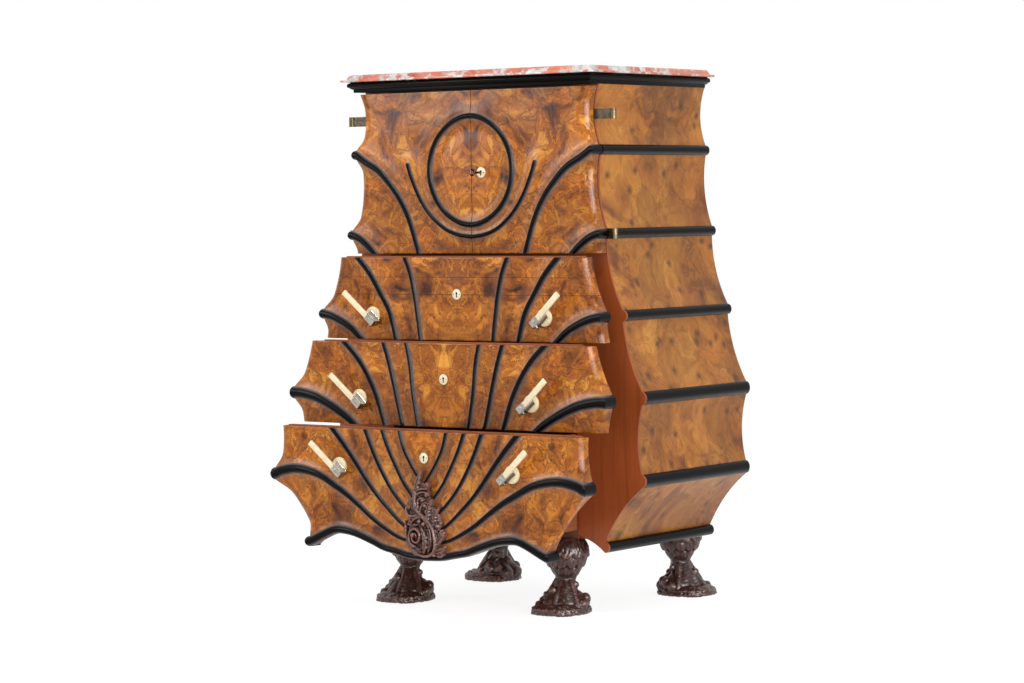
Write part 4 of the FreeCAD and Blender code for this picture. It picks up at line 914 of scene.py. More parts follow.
class Case:
    """The levels of the case and its scalloped half width."""

    def __init__(self) -> None:
        """Reads the levels from the frame's nodes."""
        self.front = face_of("front_stiles", LOW, Y)
        self.facing = face_of("front_stiles", HIGH, Y)
        self.back = face_of("left_side", HIGH, Y)
        self.bay = face_of("top_board", HIGH, X)
        self.base = face_of("bottom_board", LOW, Z)
        self.floors = (middle_of("upper_divider", Z), middle_of("lower_divider", Z))
        self.high = middle_of("cupboard_floor", Z)
        self.eaves = face_of("top_board", HIGH, Z)
        # half width at the eaves, and depth of the scallop under them
        self.half_top, self.sag_top = 354.0, 14.0
        self.land = 332.0    # half width over the level part of a side's underside
        mid, low = self.floors
        self.mouldings = (
            Moulding(366.5, self.high + 249, 24, 12), Moulding(382.5, self.high + 50, 24, 11),
            Moulding(426.5, mid + 63, 26, 9), Moulding(478, low + 75, 32, 12),
            Moulding(475, self.base + 145, 32, 10), Moulding(368, self.base - 17, 26, 10))

    def edge(self, z: Array) -> Array:
        """Half width at each height: arcs that sag inwards between the mouldings' grounds.

        Args:
            z: the heights.
        Returns:
            A half width for each.
        """
        width = np.full(np.shape(z), self.mouldings[-1].ground)
        above, half, sag = self.eaves, self.half_top, self.sag_top
        for bead in self.mouldings:
            upper = bead.height + bead.tall / 2
            scallop = arc(z, (upper, bead.ground), (above, half), -sag)
            width = np.where((z > upper) & (z <= above), scallop, width)
            above, half, sag = bead.height - bead.tall / 2, bead.ground, bead.sag
            width = np.where((z >= above) & (z <= upper), half, width)
        return width

    def clear_of_mouldings(self, z: Array) -> Array:
        """Distance from a height to the nearest moulding; 0 beside it."""
        gaps = [np.abs(z - bead.height) - bead.tall / 2 for bead in self.mouldings]
        return np.maximum(np.min(gaps, axis=0), 0)

    def hem(self, x: Array) -> Array:
        """Lower edge of the lowest front: an arc for the belly, then one for the arch.

        Args:
            x: half widths.
        Returns:
            A height for each.
        """
        turn, half, foot = self.base - 9, 175.0, self.mouldings[-1]
        belly = arc(x, (-half, turn), (half, turn), -36)
        arch = arc(x, (half, turn), (foot.ground, foot.height - foot.tall / 2), 29)
        return np.where(x < half, belly, arch)


CASE = Case()


# ---- Shaped fronts and their ribs ----
# heights ahead of a front's back plane
FACE, VALLEY, SHOULDER, RIB_FOOT, RIB_CREST = 34.0, 32.4, 36.8, 31.0, 45.0
FLANK = 10.5            # how fast the dish falls away from a rib
ROUND_WIDE, ROUND_DEEP = 27.0, 25.0   # rounding of the fronts' upright edges
SOFT = 0.8              # wear on every other edge
EDGE_STEPS = np.array([0, .25, .9, 2, 3.6, 5.6, 8, 11, 14.5, 18.5, 23, 28])
SEAM = 1.0              # half of the gap between the doors
COVER = 0.5             # how far a moulding covers the cusps of the facing
RUN_OFF = 14.0          # how far a rib's free end runs past its front before it is cut off
CURVE = np.linspace(0, math.pi, 15)
REACH = np.concatenate([np.cos(CURVE), [-1, 1]])    # across a half-round, closed behind it


@dataclass(frozen=True)
class Rib:
    """A black half-round on the right half of a front; the left half mirrors it."""

    way: tuple                   # (half width, height) points, from its outer end
    wide: float                  # half width at its start
    narrow: float                # half width at its end
    moulding: int | None = None  # the side moulding that it carries on from
    runs_off: bool = True        # its end is cut off at the front's edge
    tip: bool = False            # its start is rounded off

    def line(self) -> tuple[Array, Array, Array]:
        """Works out the rib's way; its free ends run past the front, and are cut off later.

        Returns:
            Its centre line, its half width there and how full its height is there.
        """
        points = np.array(self.way, float)
        wide = self.wide
        if self.moulding is not None:
            bead = CASE.mouldings[self.moulding]
            inside = points[points[:, 0] < bead.ground - RUN_OFF]
            points = np.vstack([[bead.ground, bead.height], inside])
            wide = bead.tall / 2
        elif not self.tip:
            points = np.vstack([points[0] + RUN_OFF * unit(points[0] - points[1]), points])
        if self.runs_off:
            points = np.vstack([points, points[-1] + RUN_OFF * unit(points[-1] - points[-2])])
        way = spline(points)
        share = share_along(way)
        half = wide + (self.narrow - wide) * share ** 0.8
        run = share * np.linalg.norm(np.diff(way, axis=0), axis=1).sum()
        full = np.ones(len(way))
        if self.tip:
            full = np.sqrt(np.clip(1 - (1 - np.minimum(run / wide, 1)) ** 2, 0.0004, 1))
        return way, half * full, full

    def sections(self, gap: float) -> Array:
        """Closed sections along the rib: each is half an ellipse, closed under the face.

        A rib that carries on from a moulding starts at the front's back, runs forward along
        the edge and turns at a mitre.

        Args:
            gap: the front's back ahead of its plane.
        Returns:
            Rows of points as (half width, ahead of the plane, height).
        """
        way, half, full = self.line()
        ahead = np.gradient(way, axis=0)
        ahead /= np.linalg.norm(ahead, axis=1, keepdims=True)
        across = np.stack([ahead[:, 1], -ahead[:, 0]], 1)
        rise = np.concatenate([np.sin(CURVE), [-0.3, -0.3]])
        flat = way[:, None] + across[:, None] * (half[:, None] * REACH)[..., None]
        lift = RIB_FOOT + (RIB_CREST - RIB_FOOT) * full[:, None] * rise
        rows = np.stack([flat[..., 0], lift, flat[..., 1]], -1)
        if self.moulding is None:
            return rows
        bead = CASE.mouldings[self.moulding]
        out, height = bead.ground + bead.proud * rise, bead.height + bead.tall / 2 * REACH
        mitre = np.stack([out, SHOULDER - 2 + (RIB_CREST - SHOULDER + 2) * rise, height], -1)
        start = np.stack([out, np.full_like(out, gap), height], -1)
        return np.concatenate([[start, mitre], rows])


def turns(count: int) -> Array:
    """Evenly spaced angles all the way round."""
    return np.linspace(0, 2 * math.pi, count, endpoint=False)


def unit(way: Array) -> Array:
    """The direction of a vector."""
    return way / np.linalg.norm(way)


@dataclass
class Front:
    """One shaped front: a veneered board, dished between its ribs and round at its edges."""

    plane: float                 # Y of its back plane
    low: float
    high: float
    ribs: tuple
    flats: tuple = ()            # level spots under roses and plates: half width, height, radius
    hemmed: bool = False         # its lower edge is the belly and the arches
    seam: float = 0.0            # half of the gap at the middle, where it is two doors
    gap: float = 0.0             # its back face ahead of the plane
    step: float = 3.4

    def near_ribs(self, x: Array, z: Array) -> Array:
        """1 at a rib's foot, falling to 0 away from every rib.

        It is 1 less the product of 1 - exp(-gap / FLANK) over the ribs.

        Args:
            x, z: places on the front.
        Returns:
            A share for each.
        """
        clear = np.ones_like(x)
        for rib in self.ribs:
            way, half, _ = rib.line()
            gap = np.hypot(x[..., None] - way[:, 0], z[..., None] - way[:, 1]) - half
            clear *= 1 - np.exp(-np.maximum(gap.min(-1), 0) / FLANK)
        return 1 - clear

    def lift(self, x: Array, z: Array, edge_z: Array, inset: Array) -> Array:
        """How far the face stands ahead of the back plane.

        Args:
            x, z: places on the front.
            edge_z: the height at which each row meets the edge.
            inset: distance from the upright edge.
        Returns:
            The dish between ribs, level under fittings, less the rounding of the upright edge,
            which fades out beside the mouldings.
        """
        lift = VALLEY + (SHOULDER - VALLEY) * self.near_ribs(x, z)
        lift += 0.35 * ripple(np.stack([x, z], -1), 90, 3)
        for half, height, radius in self.flats:
            level = 1 - smooth_step(radius, radius + 45, np.hypot(x - half, z - height))
            lift += (FACE - lift) * level
        fade = smooth_step(0, 36, CASE.clear_of_mouldings(edge_z))
        fade = fade * (0.45 + 0.55 * smooth_step(0, 50, CASE.eaves - edge_z))
        turn = np.clip(1 - inset / ROUND_WIDE, 0, 1)
        lift -= (lift - FACE + ROUND_DEEP) * fade * (1 - np.sqrt(1 - turn ** 2))
        worn = np.clip(1 - inset / SOFT, 0, 1)
        for gap in (edge_z - self.low, self.high - edge_z):
            worn = np.maximum(worn, np.clip(1 - gap / SOFT, 0, 1))
        return lift - SOFT * (1 - np.sqrt(1 - worn ** 2))

    def rows(self) -> Array:
        """Spaces the grid's rows, closer together at the ends and the cusps.

        Returns:
            Their heights.
        """
        marks = [np.linspace(self.low, self.high, round((self.high - self.low) / self.step))]
        marks += [self.low + EDGE_STEPS[:3], self.high - EDGE_STEPS[:3]]
        for bead in CASE.mouldings:
            for cusp in (bead.height - bead.tall / 2, bead.height + bead.tall / 2):
                marks.append(cusp + np.array([-1.6, -0.6, 0, 0.6, 1.6]))
        marks = np.unique(np.concatenate(marks).round(2))
        return marks[(marks >= self.low) & (marks <= self.high)]

    def right_half(self) -> tuple[Array, Array]:
        """Works out the right half, as rows from the middle to the edge.

        Returns:
            Its face and its back, as grids in millimetres.
        """
        edge_z = self.rows()
        edge = CASE.edge(edge_z)
        inner = EDGE_STEPS[-1]
        count = round((edge.max() - inner) / self.step)
        share = np.linspace(0, 1, count)
        x = self.seam + share[None, :] * (edge[:, None] - inner - self.seam)
        x = np.hstack([x, edge[:, None] - EDGE_STEPS[-2::-1][None, :]])
        edge_z = np.broadcast_to(edge_z[:, None], x.shape)
        inset = edge[:, None] - x
        z = edge_z.copy()
        if self.hemmed:
            rise = (self.high - edge_z) / (self.high - self.low)
            corner = CASE.mouldings[-1].ground
            z += rise * (CASE.hem(x / edge[:, None] * corner) - self.low)
        lift = self.lift(x, z, edge_z, inset)
        front = np.stack([x, self.plane - lift, z], -1)
        back = np.stack([x, np.full_like(x, self.plane - self.gap), z], -1)
        return front, back

    def board(self, name: str, sides: tuple) -> Object:
        """Builds the board of one half or of both.

        Args:
            name: the piece's name.
            sides: the halves that it spans, -1 for the left and 1 for the right.
        Returns:
            A closed board: veneer in front and at the ends, bare wood behind.
        """
        shell = Shell()
        grids = [grid * MM for grid in self.right_half()]
        if len(sides) == 2:
            flip = np.array([-1, 1, 1])
            grids = [np.hstack([grid[:, :0:-1] * flip, grid]) for grid in grids]
        elif sides[0] < 0:
            grids = [grid * np.array([-1, 1, 1]) for grid in grids]
        shell.slab(*grids, face=0, core=1, ends=2)
        piece = shell.make(name, (Look.BURR, Look.CORE, Look.BURR), 50)
        points = places(piece.data)
        # marks the band beside the ribs that the veneer greys: painted sheen, with some rubbed polish
        store(piece.data, "rubbed_and_sheen", self.near_ribs(np.abs(points[:, X]), points[:, Z]) ** 2)
        return piece

    def beads(self, name: str, ribs: tuple, sides: tuple) -> Object:
        """Builds the ribs, cut off at the top and the bottom of the front and at its seam.

        Args:
            name: the piece's name.
            ribs: which of them it holds.
            sides: the halves that it spans.
        Returns:
            One piece, whose flank attribute is 0 on a rib's crest and 1 at its foot; the finish paints a
            sheen with dust there.
        """
        shell = Shell()
        for rib in ribs:
            for side in sides:
                rows = rib.sections(self.gap)
                points = np.stack([rows[..., 0] * side, self.plane - rows[..., 1], rows[..., 2]], -1)
                shell.tube(points * MM)
        piece = shell.make(name, (Look.LACQUER,), 62)
        planes = [((0, 0, self.high * MM), (0, 0, 1))]
        if not self.hemmed:
            planes.append(((0, 0, self.low * MM), (0, 0, -1)))
        if self.seam:
            planes.append(((sides[0] * self.seam * MM, 0, 0), (-sides[0], 0, 0)))
        trim(piece, planes)
        lift = self.plane - places(piece.data)[:, Y]
        flank = smooth_step(0.2, 0.95, (RIB_CREST - lift) / (RIB_CREST - SHOULDER))
        # painted sheen with dust, strongest at the flanks of each rib
        store(piece.data, "flank", flank * (lift > FACE - 4))
        return piece


# ---- Doors ----
@dataclass
class Doors:
    """The two doors: shaped boards, ribs, an oval ring and a U-shaped bead across both."""

    ring_height: float = field(default_factory=lambda: CASE.high + 206)
    ring_half: float = 125.0
    ring_tall: float = 129.0
    ring_wide: float = 8.3
    cup_wide: float = 6.0

    def ring(self) -> Rib:
        """Half of the oval, from its top to its bottom, a little pointed at both.

        Returns:
            A rib along half an ellipse, stretched near its ends by a tenth power of the cosine.
        """
        turn = np.linspace(0, math.pi, 25)
        point = 1 + 0.022 * np.abs(np.cos(turn)) ** 10
        way = np.stack([self.ring_half * np.sin(turn) + 0.01,
                        self.ring_height + self.ring_tall * np.cos(turn) * point], 1)
        return Rib(tuple(map(tuple, way)), self.ring_wide, self.ring_wide)

    def cup(self) -> Rib:
        """Half of the U-shaped bead.

        Returns:
            A rib from its round tip to the middle of the chest.
        """
        foot = CASE.high
        way = ((195, foot + 229), (180, foot + 188), (154, foot + 137), (121, foot + 96),
               (78, foot + 64), (38, foot + 50), (0, foot + 45))
        return Rib(way, self.cup_wide, self.cup_wide, tip=True)

    def ribs(self) -> tuple:
        """The ribs that both doors show.

        Returns:
            The two that carry on from side mouldings.
        """
        foot = CASE.high
        return (
            Rib(((366, foot + 250), (328, foot + 232), (287, foot + 210), (252, foot + 178),
                 (218, foot + 137), (190, foot + 86), (166, foot + 19), (162, foot + 4)),
                12, 7.3, moulding=0),
            Rib(((382, foot + 53), (346, foot + 40), (318, foot + 20), (302, foot + 5)),
                12, 11, moulding=1),
        )

    def build(self) -> None:
        """Makes both doors and says what they ride on."""
        low, high = span("left_door_panel", Z)
        gap = CASE.front - face_of("left_door_panel", HIGH, Y)
        plate_side, plate_height = middle_of("door_key_plate", X), middle_of("door_key_plate", Z)
        ribs = self.ribs()
        front = Front(CASE.front, low, high, ribs + (self.ring(), self.cup()),
                      flats=((0, self.ring_height, 66),), seam=SEAM, gap=gap)
        for side, word in SIDES:
            body = word + "_door"
            board = front.board(word + "_door_shaped_board", (side,))
            settle(board, body, Slot.VENEER, word + "_door_panel")
            beads = front.beads(word + "_door_black_ribs", ribs, (side,))
            settle(beads, body, Slot.LACQUER, word + "_door_ribs")
            oval = front.beads(word + "_door_oval_beads", (self.ring(), self.cup()), (side,))
            settle(oval, body, Slot.LACQUER, word + "_door_ring")
        plate = key_plate("door_horn_key_plate", plate_side, plate_height,
                          face_of("door_key_plate", HIGH, Y), 12.8)
        settle(plate, "right_door", Slot.HORN, "door_key_plate")


# ---- Fittings ----
def disc(shell: Shell, centre: tuple, outline: tuple, slot: int = 0, count: int = 48) -> None:
    """A turned disc that faces the front.

    Args:
        shell: gathers it.
        centre: x, y and z of its middle, in millimetres.
        outline: (radius, ahead of the middle) points from the back's middle to the front's.
        slot: its material.
        count: points round it.
    """
    profile = np.array(outline, float)
    turn = turns(count)
    x = centre[0] + profile[:, :1] * np.cos(turn)
    z = centre[2] + profile[:, :1] * np.sin(turn)
    y = np.broadcast_to(centre[1] - profile[:, 1:], x.shape)
    shell.tube(np.stack([x, y, z], -1) * MM, slot)


def key_plate(name: str, x: float, z: float, seat: float, radius: float) -> Object:
    """A cream disc with a dark keyhole and two small pins.

    Args:
        name: the piece's name.
        x, z: its middle.
        seat: Y of the face that it lies on.
        radius: its radius.
    Returns:
        The piece, made of three materials.
    """
    shell = Shell()
    disc(shell, (x, seat, z), ((0.1, -1), (radius, -1), (radius, 1.2), (radius - 0.5, 2.0),
                               (radius - 1.4, 2.4), (0.1, 2.5)))
    for side in BOTH:
        disc(shell, (x + side * 0.68 * radius, seat, z), (
            (0.1, 1.0), (1.5, 1.0), (1.5, 2.6), (1.0, 3.0), (0.1, 3.2)), 1, 12)
    turn = np.linspace(-0.5, 0.5, 21) * (2 * math.pi - 0.9)
    round_part = np.stack([2.9 * np.sin(turn), 2.6 + 2.9 * np.cos(turn)], 1)
    hole = np.vstack([round_part, [[1.7, -7.5], [-1.7, -7.5]]])
    loops = [np.stack([x + hole[:, 0], np.full(len(hole), seat - lift), z + hole[:, 1]], 1)
             for lift in (1.5, 2.56)]
    shell.tube(np.stack(loops) * MM, 2)
    return shell.make(name, (Look.HORN, Look.STEEL, Look.VOID), 35)


def rounded_bar(shell: Shell, start: Array, ahead: Array, across: Array,
                size: tuple, round_off: float, slot: int = 0) -> None:
    """A straight bar with rounded edges.

    Args:
        shell: gathers it.
        start: the middle of its near end.
        ahead: its direction.
        across: the direction of its width; its thickness lies square to both.
        size: length, width and thickness.
        round_off: radius of its edges.
        slot: its material.
    """
    length, wide, thick = size
    deep = np.cross(ahead, across)
    turn = np.linspace(0, math.pi / 2, 4)
    corner = np.stack([np.cos(turn), np.sin(turn)], 1)
    rows = [(along * round_off, shrink * round_off) for along, shrink in ((0, 1), (0.3, 0.3), (1, 0))]
    rows += [(length - along, shrink) for along, shrink in rows[::-1]]
    sections = []
    for along, shrink in rows:
        half = np.array([wide, thick]) / 2 - shrink
        radius = max(round_off - shrink, 0.05)
        loop = []
        for quarter in range(4):
            c, s = math.cos(quarter * math.pi / 2), math.sin(quarter * math.pi / 2)
            way = corner @ np.array([[c, s], [-s, c]])
            sign = np.sign(way.sum(0))
            loop.append(sign * (half - radius) + way * radius)
        loop = np.concatenate(loop)
        sections.append(start + ahead * along + loop[:, :1] * across + loop[:, 1:] * deep)
    shell.tube(np.stack(sections) * MM, slot)


@dataclass
class Handles:
    """Two fixed handles on a drawer: a cream rose, a folded clip and a cream bar."""

    drawer: str
    face: float                  # Y of the veneer's face
    side: float
    height: float
    rose: float = 21.5
    bar: tuple = (111.0, 14.0, 6.0)
    heel: float = 24.0           # bar's near end behind the middle of the rose
    stand: float = 27.0          # middle of the bar ahead of the face
    rise: float = math.radians(42)
    lean: float = math.radians(4.5)
    strap: tuple = (16.4, 1.8)   # width and thickness of the clip
    fold: float = 5.0            # radius of the clip's two bends

    def clip_line(self) -> Array:
        """The clip's middle line as (along the bar, ahead of the face): a squared U.

        It starts on the rose, turns up behind the bar's near end and comes back over the bar.

        Returns:
            Its points, one a row.
        """
        low, high = 6.4, self.stand + self.bar[2] / 2 + self.strap[1] / 2
        end = -self.heel - self.fold
        quarter = np.linspace(0, math.pi / 2, 7)
        bend = self.fold * np.stack([-np.sin(quarter), 1 - np.cos(quarter)], 1)
        first = np.array([end + self.fold, low]) + bend
        second = np.array([end + self.fold, high]) + bend[::-1] * (1, -1)
        return np.vstack([[[11, low], [4, low]], first, second, [[-8, high], [0, high]]])

    def clip(self, shell: Shell, middle: Array, ahead: Array, across: Array) -> None:
        """Adds one clip: a strap carried along its line, and a rivet on each leg.

        Args:
            shell: gathers it.
            middle: the middle of the rose on the drawer's face.
            ahead: the bar's direction.
            across: the direction of its width.
        """
        line = self.clip_line()
        out = np.array([0.0, -1.0, 0.0])
        way = np.gradient(line, axis=0)
        way /= np.linalg.norm(way, axis=1, keepdims=True)
        square = np.stack([-way[:, 1], way[:, 0]], 1)
        wide, thick = self.strap
        loop = np.array([(-0.5, -0.5), (0.5, -0.5), (0.5, 0.2), (0.47, 0.5), (-0.47, 0.5),
                         (-0.5, 0.2)]) * (wide, -thick)
        along = line[:, None, 0] + square[:, None, 0] * loop[None, :, 1]
        lift = line[:, None, 1] + square[:, None, 1] * loop[None, :, 1]
        points = (middle + along[..., None] * ahead + lift[..., None] * out + loop[None, :, :1] * across)
        shell.tube(points * MM)
        for place, height in ((7.0, 7.0), (-12.0, self.stand + 4.6)):
            centre = middle + place * ahead + height * out
            disc(shell, centre, ((0.1, -0.6), (2.4, -0.6), (2.2, 0.5), (1.2, 1.1), (0.1, 1.2)), 0, 16)

    def build(self) -> None:
        """Makes the roses with their bars, and the clips."""
        bars, clips = Shell(), Shell()
        edge = self.rose
        for side in BOTH:
            middle = np.array([side * self.side, self.face, self.height])
            disc(bars, middle, ((0.1, -2), (edge, -2), (edge, 2.8), (edge - 0.6, 4.2),
                                (edge - 1.8, 4.9), (8, 5.3), (0.1, 5.4)))
            level = np.array([side * math.cos(self.rise), 0, math.sin(self.rise)])
            across = np.array([-side * math.sin(self.rise), 0, math.cos(self.rise)])
            ahead = level * math.cos(self.lean) + np.array([0, -math.sin(self.lean), 0])
            start = middle - self.heel * level + np.array([0, -self.stand, 0])
            rounded_bar(bars, start, ahead, across, self.bar, 1.0)
            self.clip(clips, middle, level, across)
        roses = bars.make(self.drawer + "_horn_handles", (Look.HORN,), 35)
        settle(roses, self.drawer, Slot.HORN, self.drawer + "_handles")
        straps = clips.make(self.drawer + "_handle_clips", (Look.NICKEL,), 35)
        settle(straps, self.drawer, Slot.NICKEL, self.drawer + "_brackets")


# ---- Drawers ----
DRAWER_RIBS = (
    (   # first drawer
        Rib(((426, 714), (388, 709), (353, 695), (325, 679), (299, 657)), 13, 10.5, moulding=2),
        Rib(((303, 855), (266, 816), (235, 770), (205, 721), (186, 657)), 10.5, 7.5),
        Rib(((156, 856), (139, 816), (126, 763), (116, 700), (110, 656)), 7.5, 6.4),
    ),
    (   # second drawer
        Rib(((480, 520), (443, 520), (400, 512), (358, 496), (319, 476), (290, 458), (276, 447)),
            16, 12, moulding=3),
        Rib(((301, 648), (265, 614), (233, 572), (205, 520), (186, 468), (180, 450)), 10, 7.6),
        Rib(((180, 650), (163, 600), (147, 540), (127, 460), (121, 449)), 7.7, 6.5),
        Rib(((110, 650), (99, 600), (91, 530), (76, 448)), 6.5, 5.5),
    ),
    (   # third drawer; all but the last end under the carving
        Rib(((475, 323), (441, 334), (401, 340), (360, 337), (318, 326), (278, 306), (235, 283),
             (194, 256), (153, 227), (116, 206), (80, 189), (46, 179)), 16, 4.6, moulding=4,
            runs_off=False),
        Rib(((279, 444), (243, 406), (210, 367), (177, 326), (145, 290), (111, 258), (77, 229),
             (42, 205)), 10.5, 4.6, runs_off=False),
        Rib(((175, 443), (156, 400), (134, 358), (103, 310), (75, 278), (36, 240)), 7.5, 4.4,
            runs_off=False),
        Rib(((123, 443), (107, 404), (84, 361), (57, 317), (18, 272)), 6.5, 4.3,
            runs_off=False),
        Rib(((70, 442), (59, 405), (38, 367), (6, 322)), 5.6, 4.0, runs_off=False),
        Rib(((368, 164), (342, 169), (300, 188), (271, 197), (242, 196), (213, 191), (183, 182),
             (154, 172), (124, 161), (87, 154), (49, 146), (0, 143)), 13, 8.7, moulding=5,
            runs_off=False),
    ),
)


@dataclass
class Drawer:
    """One drawer: shaped front, ribs, box, handles and key plate."""

    number: int
    rose_side: float = 260.0     # a rose's middle beside the drawer's
    key_up: float = 25.0         # key plate's middle above the lock's foot
    wall: float = 12.0
    bottom: float = 6.0
    groove: float = 3.0          # bottom above the sides' lower edges
    side_gap: float = 3.0        # box inside the bay's walls
    run_gap: float = 0.3         # box above its floor
    head_gap: float = 6.0        # box below the board over it
    lip: tuple = (16.0, 6.0)     # depth and height of the board along the front's top
    lip_in: tuple = (16.0, 37.0, 16.0)   # its end inside the front's edge, for each drawer
    divider: float = 18.0        # thickness of the boards between the bays
    board: float = 20.0          # thickness of the bottom board

    def build(self) -> None:
        """Makes the drawer's pieces."""
        body = f"drawer_{self.number}"
        last = self.number == len(DRAWER_RIBS)
        face = face_of(body + "_front", LOW, Y)
        plane = face + FACE
        low, high = span(body + "_front", Z)
        key_height = face_of(body + "_lock", LOW, Z) + self.key_up
        rose_height = self.rose_height(body + "_handles")
        flats = ((0, key_height, 15), (self.rose_side, rose_height, 22))
        ribs = DRAWER_RIBS[self.number - 1]
        if last:
            low = CASE.mouldings[-1].height - CASE.mouldings[-1].tall / 2
        front = Front(plane, low, high, ribs, flats, hemmed=last)
        settle(front.board(body + "_shaped_board", BOTH), body, Slot.VENEER, body + "_front")
        settle(front.beads(body + "_black_ribs", ribs, BOTH), body, Slot.LACQUER, body + "_ribs")
        settle(self.box(body, plane, high), body, Slot.DRAWER, body + "_box")
        Handles(body, face, self.rose_side, rose_height).build()
        settle(key_plate(body + "_horn_key_plate", 0, key_height, face, 13.0), body, Slot.HORN)

    @staticmethod
    def rose_height(node: str) -> float:
        """Works out where a rose's middle is, from the top of the bar that rises from it.

        Args:
            node: the CAD node of the handles.
        Returns:
            Its height.
        """
        length, wide, _ = Handles.bar
        reach = (length - Handles.heel) * math.sin(Handles.rise)
        return face_of(node, HIGH, Z) - reach - wide / 2 * math.cos(Handles.rise)

    def box(self, body: str, plane: float, high: float) -> Object:
        """Builds the box behind the front: two sides, back, bottom, and the lip over the front.

        Args:
            body: the drawer's name.
            plane: Y of the front's back plane.
            high: height of the front's upper edge.
        Returns:
            The piece.
        """
        back = face_of(body + "_box", HIGH, Y)
        half = CASE.bay - self.side_gap
        over = self.divider / 2
        floors = (CASE.floors[0] + over, CASE.floors[1] + over, CASE.base + self.board)
        roofs = (CASE.high - over, CASE.floors[0] - over, CASE.floors[1] - over)
        low = floors[self.number - 1] + self.run_gap
        top = roofs[self.number - 1] - self.head_gap
        under = low + self.groove
        lip_deep, lip_tall = self.lip
        lip_half = float(CASE.edge(np.array(high))) - self.lip_in[self.number - 1]
        shell = Shell()
        for side in BOTH:
            ends = sorted((side * (half - self.wall), side * half))
            shell.block((ends[0], plane - 4, low), (ends[1], back, top), 0.8)
        shell.block((-half + self.wall - 1, back - self.wall, low),
                    (half - self.wall + 1, back - 0.4, top - 4), 0.8)
        shell.block((-half + 5, plane - 4, under), (half - 5, back - 5, under + self.bottom), 0.5)
        shell.block((-lip_half, plane - lip_deep, high - lip_tall / 2),
                    (lip_half, plane, high + lip_tall / 2), 0.6)
        return shell.make(body + "_box_boards", (Look.BOX,), 30)


